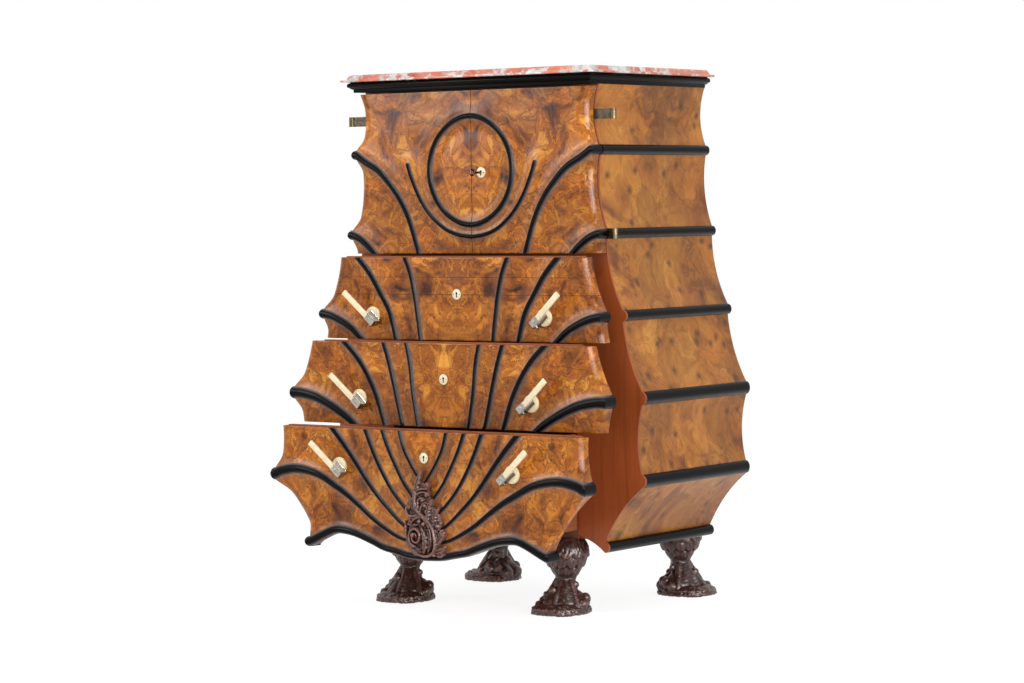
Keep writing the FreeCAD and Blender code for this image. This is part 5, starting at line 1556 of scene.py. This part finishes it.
# ---- Case: sides, mouldings, cornice and stone ----
@dataclass
class Carcase:
    """The veneered sides, the mouldings along them, the cornice and the stone."""

    cornice_profile: tuple = (
        # (inside the widest point, height above the eaves)
        (13, 0), (12.2, 0.2), (12, 1), (12, 6.8), (11.4, 7.6), (9.4, 8.2), (7.4, 9.3), (5.8, 10.8),
        (4.9, 12), (3.2, 12.3), (1.6, 13.2), (0.5, 14.8), (0, 17), (0.3, 19.2), (1.3, 21.4),
        (3, 23), (5.2, 24), (6.6, 24.4), (6.8, 26))
    stone_profile: tuple = (
        (14, 0), (1.0, 0), (0.3, 0.3), (0, 1), (0, 3.8), (0.4, 4.6), (1.4, 5), (7.0, 5.3),
        (11.5, 6.0), (13.6, 7.2), (14.6, 8.8), (15.6, 11.4), (17.4, 14.6), (19.6, 16.8),
        (22.5, 17.8), (26, 18))

    def side(self, side: int, word: str) -> None:
        """Makes one side: straight inside, scalloped outside, along the whole depth.

        Args:
            side, word: -1 for the left one or 1 for the right one, and its name.
        """
        z = np.unique(np.concatenate([
            np.linspace(CASE.mouldings[-1].height - 13, CASE.eaves, 300),
            [CASE.base], *[bead.height + bead.tall / 2 * np.array(BOTH)
                           for bead in CASE.mouldings]]))
        z = np.insert(z, np.searchsorted(z, CASE.base), CASE.base)
        under = np.arange(len(z)) <= np.searchsorted(z, CASE.base)
        foot = z[0]
        slope = (CASE.edge(z)[0] - CASE.land) / (CASE.base - foot)
        inner = np.where(under, CASE.land + (CASE.base - z) * slope, CASE.bay)
        depths = np.linspace(CASE.facing, CASE.back, 12)
        grids = [np.stack(np.broadcast_arrays(side * half[:, None], depths, z[:, None]), -1) * MM
                 for half in (CASE.edge(z), inner)]
        shell = Shell()
        shell.slab(*grids, face=0, core=1, ends=1)
        settle(shell.make(word + "_veneered_side", (Look.SIDE, Look.CORE), 35), "carcase",
               Slot.SIDE, word + "_side")

    def mouldings(self, side: int, word: str) -> None:
        """Makes the black half-rounds along one side, greyed on their lower halves by dust and a painted
        sheen.

        Those beside the doors run over the facing; the cusps of the facing hide the others.

        Args:
            side, word: -1 for the left one or 1 for the right one, and its name.
        """
        shell = Shell()
        rise = np.concatenate([np.sin(CURVE), [-0.25, -0.25]])
        for bead in CASE.mouldings:
            over = bead.height > CASE.high
            cover, start = (COVER, CASE.front) if over else (0, CASE.facing)
            depths = np.linspace(start, CASE.back, 10)
            x = side * (bead.ground + (bead.proud + cover) * rise)
            z = bead.height + (bead.tall / 2 + cover) * REACH
            rows = [np.stack([x, np.full(len(x), y), z], 1) for y in depths]
            shell.tube(np.stack(rows) * MM)
        piece = shell.make(word + "_black_mouldings", (Look.LACQUER,), 35)
        z = places(piece.data)[:, Z]
        # the lower halves get a painted sheen with dust, through the flank attribute
        below = [smooth_step(0.1, 0.9, 2 * (bead.height - z) / bead.tall)
                 * (bead.height - z < bead.tall) for bead in CASE.mouldings]
        store(piece.data, "flank", 0.45 * np.max(below, axis=0))
        settle(piece, "carcase", Slot.LACQUER, word + "_mouldings")

    def carry_round(self, node: str, profile: tuple, name: str, finish: Look, slot: Slot,
              corner: float) -> None:
        """Carries a profile round the top of the case, with rounded corners.

        Each point's ring is a rectangle moved inwards by the point's inset.

        Args:
            node: the CAD node that the piece stands for.
            profile: (inset, height) points.
            name: the piece's name.
            finish: its finish.
            slot: its material slot.
            corner: radius of its corners.
        """
        half, low = face_of(node, HIGH, X), face_of(node, LOW, Z)
        front, back = span(node, Y)
        turn = np.linspace(0, math.pi / 2, 5)
        rings = []
        for inset, height in profile:
            radius = max(corner - inset, 0.4)
            near, far = front + inset + radius, back - inset / 2 - radius
            loop = []
            for quarter, (side, y) in enumerate(((1, near), (1, far), (-1, far), (-1, near))):
                angle = turn + (quarter - 1) * math.pi / 2
                centre = np.array([side * (half - inset - radius), y])
                loop.append(centre + np.stack([np.cos(angle), np.sin(angle)], 1) * radius)
            loop = np.concatenate(loop)
            rings.append(np.column_stack([loop, np.full(len(loop), low + height)]))
        shell = Shell()
        shell.tube(np.stack(rings) * MM)
        settle(shell.make(name, (finish,), 35), "carcase", slot, node)

    def build(self) -> None:
        """Makes the carcase's shaped pieces."""
        for side, word in SIDES:
            self.side(side, word)
            self.mouldings(side, word)
        self.carry_round("cornice", self.cornice_profile, "moulded_cornice", Look.LACQUER,
                         Slot.LACQUER, 1.2)
        self.carry_round("stone_top", self.stone_profile, "polished_stone_slab", Look.STONE,
                         Slot.MARBLE, 7)


# ---- Carving ----
def ball(shell: Shell, centre: tuple, radii: tuple, turned: float = 0.0) -> None:
    """Adds an ellipsoid, as rings from pole to pole.

    Args:
        shell: gathers it.
        centre: its middle, in millimetres.
        radii: along X, Y and Z.
        turned: its turn about the vertical.
    """
    rise = np.linspace(0.02, math.pi - 0.02, 13)[:, None]
    turn = turns(20)[None, :]
    way = np.stack([np.sin(rise) * np.cos(turn), np.sin(rise) * np.sin(turn),
                    np.broadcast_to(np.cos(rise), (13, 20))], -1) * np.array(radii)
    c, s = math.cos(turned), math.sin(turned)
    way = way @ np.array([[c, s, 0], [-s, c, 0], [0, 0, 1]])
    shell.tube((np.array(centre) + way) * MM)


def mark_relief(mesh: Mesh, scale: float, rounds: int) -> None:
    """Stores on each vertex how much it stands out of its surroundings, 0 to 1.

    Args:
        mesh: the mesh.
        scale: the standing out, in millimetres, that counts as 1.
        rounds: how often each vertex moves to the mean of its neighbours to find them.
    """
    points, normals = places(mesh), normals_of(mesh)
    count = len(points)
    edges = np.empty(len(mesh.edges) * 2, dtype=np.int32)
    mesh.edges.foreach_get("vertices", edges)
    one, two = edges.reshape(-1, 2).T
    both, other = np.concatenate([one, two]), np.concatenate([two, one])
    degree = np.maximum(np.bincount(both, minlength=count), 1)[:, None]
    calm = points
    for _ in range(rounds):
        sums = [np.bincount(both, calm[other, axis], count) for axis in (X, Y, Z)]
        calm = np.stack(sums, 1) / degree
    out = ((points - calm) * normals).sum(1) / scale
    store(mesh, "relief", smooth_step(-0.1, 1.0, out))


@dataclass(frozen=True)
class Stroke:
    """A carved leaf or stem: a ridge along a way."""

    way: tuple          # (x, z) points
    wide: float         # greatest half width
    high: float         # height of its ridge
    base: float = 4.0   # what it lies on
    leaf: bool = True

    def height(self, x: Array, z: Array) -> Array:
        """Its surface above the ground of the carving, and below 0 outside it.

        Across it is the root of 1 - (d / w)^2; a leaf is widest past its middle, with lobes
        along its edge and a groove along its rib, while a stem tapers.

        Args:
            x, z: places on the carving.
        Returns:
            A height for each.
        """
        way = spline(np.array(self.way, float), 14)
        gap = np.hypot(x[..., None] - way[:, 0], z[..., None] - way[:, 1])
        near = gap.argmin(-1)
        gap = np.take_along_axis(gap, near[..., None], -1)[..., 0]
        share = share_along(way)[near]
        if self.leaf:
            wide = self.wide * np.sin(math.pi * np.clip(share, 0.03, 0.985) ** 0.8) ** 0.7
            wide = wide * (0.84 + 0.2 * np.abs(np.cos(share * len(self.way) * 3.3)))
        else:
            wide = self.wide * (1.05 - 0.6 * share)
        across = gap / np.maximum(wide, 0.5)
        body = self.base + self.high * np.sqrt(np.maximum(1 - across ** 2, 0))
        if self.leaf:
            veins = np.cos(share * len(self.way) * 7.5 - across * 2.2)
            body -= 0.42 * self.high * np.exp(-(gap / 1.3) ** 2)
            body += 0.10 * self.high * veins * across
        return np.where(across < 1, body, -1.0)


@dataclass
class Carving:
    """The carved ornament at the foot of the lowest drawer: scrolls and leaves round a volute."""

    step: float = 1.0
    ground: float = 38.0     # ahead of the drawer front's back plane
    shift: float = 9.0       # the ornament's middle beside the drawer's
    narrow: float = 0.91     # its width as a share of its drawing
    volute: tuple = (-22.0, 194.0, 24.0, 5.0)    # middle, outer radius and half width
    balls: tuple = (
        # x, z, radius, height of its middle above the ground
        (5.7, 317, 5.6, 9), (8.5, 294.5, 6, 9), (-5, 281, 5.2, 11), (3, 269, 6, 10),
        (-51, 262, 5.6, 8), (-46.5, 229, 5.2, 9), (-12, 231, 5.8, 13), (3, 225.5, 5.8, 13),
        (42, 221, 5.6, 9), (29.5, 151, 4.6, 8), (-29, 198, 6.4, 18), (26, 190, 4.2, 14),
        (-40, 208, 4.6, 12), (52, 210, 4.2, 6))
    # each stem and leaf: its way as (x, z) points, half width, height of its ridge, base
    stems: tuple = (
        (((-29, 300), (-27, 266), (-12, 251), (10.5, 236), (25.7, 222.5), (34, 206), (38, 180.5),
          (33, 161), (18, 151), (-3, 149), (-26, 158), (-43, 174.5), (-54, 195.5),
          (-57, 218)), 5.6, 9, 10),
        (((-22, 258), (-6, 245), (14, 226), (24, 208), (27, 186), (22, 166)), 4.0, 7, 11),
        (((-31, 290), (-24, 302), (-9, 308), (7, 309), (14, 316), (9, 324)), 4.6, 7, 8),
        (((-29, 276), (-24, 292), (-10, 300), (6, 300), (17, 294)), 4.6, 7, 8),
        (((-20, 262), (-19, 278), (-11, 286), (0, 286)), 4.6, 7, 9),
        (((-12, 256), (-6, 268), (4, 276), (13, 274)), 4.6, 7, 8),
        (((-12, 248), (-31, 243), (-47, 243), (-57, 250), (-58, 262), (-50, 266)), 5.2, 7, 9),
        (((-6, 241), (-24, 239), (-36, 230), (-43, 221), (-52, 224)), 5.0, 7, 9))
    leaves: tuple = (
        (((-31, 284), (-28, 303), (-23, 323), (-16, 338), (-10, 352)), 9.5, 9, 6),
        (((16, 234), (12, 252), (16, 267), (22, 276), (25, 287)), 9.5, 9, 7),
        (((30, 222), (32, 238), (37, 252), (45, 261), (49, 269)), 7.5, 8, 6),
        (((24, 232), (27, 244), (28, 256), (33, 264)), 6, 7, 5),
        (((36, 208), (44, 216), (50, 228), (52, 240)), 6, 6, 4),
        (((38, 172), (45, 185), (53, 193), (60, 202), (63, 211)), 8.5, 8, 6),
        (((40, 184), (46, 196), (50, 204), (58, 214)), 6, 6, 5),
        (((33, 157), (45, 161), (58, 166), (66, 175)), 8.5, 7, 5),
        (((34, 150), (46, 150), (56, 152), (64, 156)), 5.5, 5, 4),
        (((-30, 256), (-40, 264), (-46, 276), (-48, 292)), 7.5, 7, 5),
        (((-28, 266), (-36, 278), (-38, 292), (-36, 304)), 6, 6, 4),
        (((-44, 172), (-56, 190), (-63, 207), (-66, 232)), 6.5, 7, 5),
        (((-38, 162), (-50, 166), (-60, 174), (-66, 186)), 5.5, 6, 4),
        (((-16, 151), (-32, 152), (-44, 157), (-52, 164)), 5.5, 5, 4),
        (((2, 156), (7, 172), (7, 190), (1, 208), (-6, 219)), 9, 9, 10),
        (((14, 158), (20, 174), (20, 192), (13, 208)), 6.5, 8, 8),
        (((-8, 157), (-22, 164), (-36, 172), (-45, 186)), 7.5, 8, 8),
        (((-20, 222), (-32, 220), (-42, 212), (-48, 200)), 6, 8, 8))
    mounds: tuple = (
        # x, z, half width, half height
        (-8, 194, 52, 47), (-12, 276, 30, 46), (-34, 248, 22, 22), (22, 236, 26, 30))

    def spiral(self) -> Stroke:
        """Draws the volute: its radius shrinks evenly over a turn and three quarters.

        Returns:
            A stem.
        """
        middle_x, middle_z, radius, wide = self.volute
        share = np.linspace(0, 1, 22)
        turn = math.radians(250) - share * math.radians(630)
        out = radius * (1 - 0.82 * share)
        way = np.stack([middle_x + out * np.cos(turn), middle_z + out * np.sin(turn)], 1)
        return Stroke(tuple(map(tuple, way)), wide, 9, 12, leaf=False)

    def layers(self, x: Array, z: Array, rough: Array) -> list:
        """Works out each stem, leaf, ball and mound as a height, below 0 where it isn't.

        A ball is half an ellipsoid over its middle, and a mound is a low one with a rough skin.

        Args:
            x, z: places on the drawing.
            rough: roughness of the mounds at each.
        Returns:
            A grid of heights for each of them.
        """
        strokes = [Stroke(*drawn) for drawn in self.leaves]
        strokes += [Stroke(*drawn, leaf=False) for drawn in self.stems] + [self.spiral()]
        made = [stroke.height(x, z) for stroke in strokes]
        for middle_x, middle_z, radius, middle in self.balls:
            out = 1 - ((x - middle_x) ** 2 + (z - middle_z) ** 2) / radius ** 2
            made.append(np.where(out > 0, middle + radius * np.sqrt(np.maximum(out, 0)), -1))
        for middle_x, middle_z, wide, tall in self.mounds:
            reach = np.hypot((x - middle_x) / wide, (z - middle_z) / tall)
            hill = 5 + 3 * np.sqrt(np.maximum(1 - reach ** 2, 0)) + rough
            made.append(np.where(reach < 1, np.maximum(hill, 1), -1))
        return made

    def build(self) -> None:
        """Makes the carving as a height above its ground, cut out along its leaves."""
        face = face_of("drawer_3_front", LOW, Y)
        half = face_of("drawer_carving", HIGH, X) + 2
        low, high = span("drawer_carving", Z)
        x, z = np.meshgrid(np.arange(-half, half, self.step), np.arange(low, high + 2, self.step))
        drawn = (x - self.shift) / self.narrow
        place = np.stack([x, z], -1)
        layers = self.layers(drawn, z, 2.2 * ripple(place, 9, 6))
        height = np.max(layers, axis=0)
        kept = height > 0
        swell = 6 * np.exp(-((drawn + 10) / 42) ** 2 - ((z - 195) / 48) ** 2)
        height = np.maximum(height + swell, 1)
        padded = np.pad(height, 1, mode="edge")
        height = (4 * height + padded[2:, 1:-1] + padded[:-2, 1:-1] + padded[1:-1, 2:]
                  + padded[1:-1, :-2]) / 8
        height += 0.45 * ripple(place, 6, 5)
        y = face + FACE - self.ground - height
        front = np.stack([x, y, z], -1)
        back = np.stack([x, np.full_like(x, face + 3), z], -1)
        cells = kept[:-1, :-1] & kept[1:, :-1] & kept[1:, 1:] & kept[:-1, 1:]
        shell = Shell()
        shell.masked(front * MM, back * MM, cells)
        piece = shell.make("drawer_3_carved_ornament", (Look.CARVED,), 60)
        mark_relief(piece.data, 1.6, 14)
        settle(piece, "drawer_3", Slot.CARVED, "drawer_carving")


# ---- Paw feet ----
@dataclass
class Feet:
    """Four carved paw feet: a feathered knee over a slim shank, and toes on a rough plinth.

    Ten toes run down from the shank all round, broad and narrow, with knuckles among them.
    """

    voxel: float = 1.7
    leg: tuple = (
        # radius in front, radius behind, height
        (32, 32, 8), (31, 31, 22), (28, 28, 40), (25, 25, 56), (23.5, 23.5, 68),
        (24, 24, 80), (28, 28, 92), (36, 36, 104), (44, 44, 116), (50, 51, 130),
        (53, 55, 144), (51, 56, 156), (44, 53, 166), (36, 48, 174), (29, 43, 179.6))
    toes: tuple = (
        # way in degrees, then its start and its end: out, height, half width, half thickness
        (34, (13, 76, 17, 11), (46, 24, 26, 13)), (88, (24, 46, 12, 12), (48, 26, 18, 15)),
        (-16, (24, 48, 13, 11), (56, 22, 17, 12)), (-72, (22, 46, 12, 12), (54, 24, 18, 15)),
        (-150, (20, 44, 16, 12), (46, 22, 20, 14)), (150, (20, 44, 16, 12), (46, 22, 20, 14)),
        (-44, (18, 78, 8, 9), (50, 24, 11, 13)), (-104, (18, 76, 9, 9), (50, 24, 12, 13)),
        (5, (18, 74, 7, 8), (52, 20, 9, 11)), (62, (18, 76, 8, 8), (54, 20, 10, 12)))
    knuckles: tuple = (
        # way in degrees, out, height, radius
        (2, 46, 33, 8.5), (-24, 38, 56, 10), (-58, 46, 42, 11), (112, 24, 68, 8),
        (180, 28, 52, 12), (120, 44, 34, 14), (-122, 46, 34, 13), (100, 52, 36, 11),
        (78, 58, 24, 12), (30, 62, 18, 9), (-8, 64, 20, 10), (-40, 66, 20, 11))
    plinth: tuple = (64.0, 72.0, 24.0)    # half width, half length, height
    plinth_ahead: float = 20.0            # its middle ahead of the leg's axis
    feather: float = 25.0                 # height of a row of feathers
    feathers_round: int = 12
    outside: float = 42.0                 # rear leg's axis outside the inner face of its node
    ahead: float = 44.0                   # front leg's axis ahead of the back of its node

    def feathers(self, turn: Array, z: Array) -> Array:
        """Overlapping pointed feathers round the knee, thickest at their tips, 0 to 1.

        The rows lean, so that the feathers sweep back as they go down.

        Args:
            turn, z: the angle and the height of each place.
        Returns:
            How much of a feather's thickness each has.
        """
        row = (z - 84) / self.feather
        level = np.floor(row)
        down = 1 - (row - level)                       # 0 at a feather's root, 1 at its tip
        across = (turn / (2 * math.pi) * self.feathers_round + 0.5 * (level % 2) + 0.3 * down) % 1 - 0.5
        wide = 0.56 * np.sqrt(np.clip(1 - down ** 3, 0, 1))
        inside = np.abs(across) < wide
        vane = 0.4 * (1 - (across / np.maximum(wide, 0.05)) ** 2)
        body = 0.15 + 0.75 * down + vane - 0.35 * np.exp(-(across / 0.07) ** 2)
        return np.where(inside, body, 0.0)

    def stem(self) -> Array:
        """The leg as rings of points: its profile turned, feathered and fluted.

        Between its front and its back the radius follows (1 + sin a) / 2, where a is the turn.
        Strands about 9 mm apart run down from the top of the knee.

        Returns:
            The rings.
        """
        profile = spline(np.array(self.leg, float), 9)
        turn = turns(180)[None, :]
        front, behind, z = profile[:, :1], profile[:, 1:2], profile[:, 2:]
        radius = front + (behind - front) * (1 + np.sin(turn)) / 2
        knee = smooth_step(86, 100, z) * (1 - smooth_step(148, 160, z))
        radius = radius + 7.0 * knee * (self.feathers(turn, z) - 0.55)
        strands = np.abs(np.sin(turn * 17 + 1.6 * np.sin(z / 11 + 3 * turn))) - 0.5
        radius = radius + 2.4 * strands * smooth_step(146, 158, z)
        radius = radius + 1.6 * np.cos(turn * 4) * smooth_step(100, 70, z)
        lean = -6 * smooth_step(64, 12, z)
        return np.stack([radius * np.cos(turn), radius * np.sin(turn) + lean,
                         np.broadcast_to(z, radius.shape)], -1)

    def rock(self) -> Array:
        """The plinth as rings of points: a rounded rectangle with a broken edge.

        Its outline is a superellipse of power 2.6, roughened differently at each height.

        Returns:
            The rings.
        """
        half, long, tall = self.plinth
        turn = turns(120)
        cosine, sine = np.cos(turn), np.sin(turn)
        x = np.sign(cosine) * np.abs(cosine) ** 0.77 * half
        y = np.sign(sine) * np.abs(sine) ** 0.77 * long
        rings = []
        for inset, height in ((0.94, 0), (1.0, 2), (1.0, 7), (0.97, 12), (0.98, 15), (0.9, 18),
                              (0.8, tall)):
            place = np.stack([cosine, sine, np.full(len(turn), height / 12)], -1)
            rough = inset * (1 + 0.035 * ripple(place, 0.45, 8))
            rings.append(np.stack([x * rough, y * rough - self.plinth_ahead,
                                   np.full(len(turn), height)], 1))
        return np.stack(rings)

    def blank(self) -> Mesh:
        """Makes one foot on its own axis, with its toes towards -Y.

        A toe is nine ellipsoids in a row, and one skin is drawn over everything.

        Returns:
            Its closed mesh.
        """
        shell = Shell()
        shell.tube(self.stem() * MM)
        shell.tube(self.rock() * MM)
        for angle, start, end in self.toes:
            way = math.radians(angle)
            for share in np.linspace(0, 1, 9):
                out, height, wide, thick = np.array(start) + share * np.subtract(end, start)
                ball(shell, (out * math.sin(way), -out * math.cos(way), height), (wide, thick, 15), way)
        for angle, out, height, radius in self.knuckles:
            way = math.radians(angle)
            ball(shell, (out * math.sin(way), -out * math.cos(way), height), (radius,) * 3)
        rough_blank = shell.make("foot_blank", (Look.CARVED,), 180)
        skin = rough_blank.modifiers.new("skin", "REMESH")
        skin.mode, skin.voxel_size = "VOXEL", self.voxel * MM
        calm = rough_blank.modifiers.new("calm", "SMOOTH")
        calm.factor, calm.iterations = 0.5, 2
        ready = bpy.context.evaluated_depsgraph_get()
        mesh = bpy.data.meshes.new_from_object(rough_blank.evaluated_get(ready))
        bpy.data.objects.remove(rough_blank)
        return mesh

    def carve(self, mesh: Mesh) -> None:
        """Roughens the skin along its normals with waves 26, 12 and 6 mm apart.

        The plinth is the roughest and the shank the smoothest.

        Args:
            mesh: the foot, which is changed.
        """
        place, normals = places(mesh), normals_of(mesh)
        calm = 0.35 + 0.65 * (1 - smooth_step(16, 26, place[:, Z]))
        depth = ripple(place, 26, 11) + calm * ripple(place, 12, 12)
        depth += calm * 0.5 * ripple(place, 6, 13)
        place += normals * depth[:, None]
        place[:, Z] = np.maximum(place[:, Z], 0)
        mesh.vertices.foreach_set("co", (place * MM).ravel().astype(np.float32))
        mesh.update()
        mark_relief(mesh, 1.7, 12)

    def build(self) -> None:
        """Makes the blank once, then sets a turned copy at each corner.

        The rear feet turn outwards, and the right one is mirrored so that they are a pair.
        """
        blank = self.blank()
        self.carve(blank)
        for node, angle in (("left_front_foot", 0), ("right_front_foot", 0),
                            ("left_rear_foot", -90), ("right_rear_foot", 90)):
            low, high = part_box(node)
            mesh = blank.copy()
            middle = Vector(((low.x + high.x) / 2, high.y - self.ahead * MM, 0))
            if angle:
                side = math.copysign(1, angle)
                inner = min(low.x, high.x, key=abs)
                middle = Vector((inner + side * self.outside * MM, (low.y + high.y) / 2, 0))
            if angle > 0:
                mesh.transform(Matrix.Scale(-1, 4, (1, 0, 0)))
                mesh.flip_normals()
            turned = Matrix.Rotation(math.radians(angle), 4, "Z")
            mesh.transform(Matrix.Translation(middle) @ turned)
            piece = finish_piece(mesh, node.replace("_foot", "_paw_foot"), (), 180)
            settle(piece, "carcase", Slot.CARVED, node)


# ---- Parts that keep their CAD shape ----
NODE_FINISHES = {
    "front_stiles": Look.STILE, "door_key": Look.KEY, "hinge_pins": Look.BRASS,
    **dict.fromkeys(("back_panel", "bottom_board", "lower_divider", "upper_divider",
                     "cupboard_floor", "top_board", "cupboard_shelf", "shelf_battens",
                     "drawer_stops"), Look.CASE),
    **dict.fromkeys(("case_hinge_leaves", "left_door_hinge_leaves", "right_door_hinge_leaves"),
                    Look.HINGE),
    **dict.fromkeys(("left_door_keep", "left_door_bolt_guides", "left_door_top_bolt",
                     "left_door_bottom_bolt", "door_lock", "door_lock_bolt"), Look.STEEL),
    **{f"drawer_{number}_{part}": Look.STEEL for number in (1, 2, 3)
       for part in ("lock", "bolt")},
}


def dress_nodes() -> None:
    """Gives each CAD node that still shows its finish."""
    for node, finish in NODE_FINISHES.items():
        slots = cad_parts[node].data.materials
        slots.clear()
        slots.append(MATERIALS[finish])
        LOG.info("%-28s keeps its shape in %s", node, finish)


# ---- Stage, light and camera ----
@dataclass(frozen=True)
class Softbox:
    """A soft area light, aimed at a point."""

    name: str
    place: tuple
    aim: tuple
    size: tuple
    power: float
    only_gloss: bool = False     # a card that polish mirrors and nothing is lit by

    def hang(self) -> None:
        """Makes the light and points its face at its aim."""
        lamp = bpy.data.lights.new(self.name, "AREA")
        lamp.shape = "RECTANGLE"
        lamp.size, lamp.size_y = self.size
        lamp.energy = self.power
        made = stand(self.name, lamp)
        made.location = self.place
        made.rotation_euler = (Vector(self.aim) - Vector(self.place)).to_track_quat("-Z", "Y").to_euler()
        made.visible_diffuse = made.visible_camera = not self.only_gloss


SOFTBOXES = (
    Softbox("window_left", (-3.4, -4.2, 2.6), (0, 0, 0.7), (0.7, 2.6), 76),
    Softbox("strip_right", (4.3, -1.3, 1.4), (0.2, 0, 0.7), (0.5, 2.4), 60),
    Softbox("ceiling", (0.9, -1.5, 3.9), (0, 0, 0.8), (1.8, 0.5), 58),
    Softbox("low_front", (1.2, -5.2, 0.9), (0, 0, 0.6), (1.6, 0.5), 18),
    Softbox("card_right", (4.1, -1.5, 1.2), (0.2, -0.2, 0.8), (4.6, 2.8), 400, True),
)


def white_unless_lighting(tree: NodeTree) -> Node:
    """Tells the rays that see the background from those that light the chest.

    Args:
        tree: a node tree.
    Returns:
        A node: 1 for a ray that the eye, a gloss or a clear body sends, and 0 for the rest.
    """
    path = add(tree, "LightPath")
    seen = add(tree, "Math MAXIMUM", {0: path.outputs["Is Camera Ray"], 1: path.outputs["Is Glossy Ray"]})
    return add(tree, "Math MAXIMUM", {0: seen, 1: path.outputs["Is Transmission Ray"]})


def light_stage(ambient: float = 0.62, reach: float = 9.0) -> None:
    """Makes a pale floor that keeps the chest's shadow, a white surround and soft lights.

    Args:
        ambient: strength of the surround's light, where 1 is white.
        reach: half width of the floor, in metres.
    """
    scene = bpy.context.scene
    scene.world = bpy.data.worlds.new("studio")
    tree = empty_tree(scene.world)
    strength = add(tree, "Math MULTIPLY_ADD",
                   {0: white_unless_lighting(tree), 1: 1 - ambient, 2: ambient})
    back = add(tree, "Background", {"Color": "#FFFFFF", "Strength": strength})
    add(tree, "OutputWorld", {"Surface": back})
    pale = bpy.data.materials.new("pale_paper_floor")
    tree = empty_tree(pale)
    paper = add(tree, "BsdfDiffuse", {"Color": "#F4F4F4"})
    glow = add(tree, "Emission", {"Strength": 0.88})
    dim = add(tree, "BsdfDiffuse", {"Color": "#8A8A8A"})
    lit = add(tree, "AddShader", {0: glow, 1: dim})
    both = add(tree, "MixShader", {0: white_unless_lighting(tree), 1: paper, 2: lit})
    add(tree, "OutputMaterial", {"Surface": both})
    mesh = bpy.data.meshes.new("floor")
    mesh.from_pydata([(-reach, -reach, 0), (reach, -reach, 0), (reach, reach, 0),
                      (-reach, reach, 0)], [], [(0, 1, 2, 3)])
    mesh.materials.append(pale)
    floor = stand("floor", mesh)
    for box in SOFTBOXES:
        box.hang()


@dataclass(frozen=True)
class Camera:
    """Where the chest is looked at from; its turn, fall and roll are in radians."""

    place: tuple = (4.4773, -6.054, 0.9894)
    turn: float = 0.6358
    fall: float = -0.046
    roll: float = -0.0138
    lens: float = 107.39
    sensor: float = 36.0

    def build(self) -> None:
        """Makes the camera: its axes are the columns of its matrix."""
        ahead = Vector((-math.sin(self.turn) * math.cos(self.fall),
                        math.cos(self.turn) * math.cos(self.fall), math.sin(self.fall)))
        right = Vector((math.cos(self.turn), math.sin(self.turn), 0))
        up = right.cross(ahead)
        across = math.cos(self.roll) * right + math.sin(self.roll) * up
        over = math.cos(self.roll) * up - math.sin(self.roll) * right
        lens = bpy.data.cameras.new("camera")
        lens.lens, lens.sensor_width = self.lens, self.sensor
        eye = stand("camera", lens)
        eye.matrix_world = Matrix.Translation(self.place) @ Matrix(
            (across, over, -ahead)).transposed().to_4x4()
        bpy.context.scene.camera = eye


def main() -> None:
    """Builds the chest piece by piece, dresses it and sets the stage."""
    logging.basicConfig(level=logging.INFO, format="%(message)s")
    bpy.context.scene.view_settings.view_transform = "Standard"
    Carcase().build()
    Doors().build()
    for number in (1, 2, 3):
        Drawer(number).build()
    Carving().build()
    Feet().build()
    dress_nodes()
    light_stage()
    Camera().build()


if __name__ == "__main__":
    main()
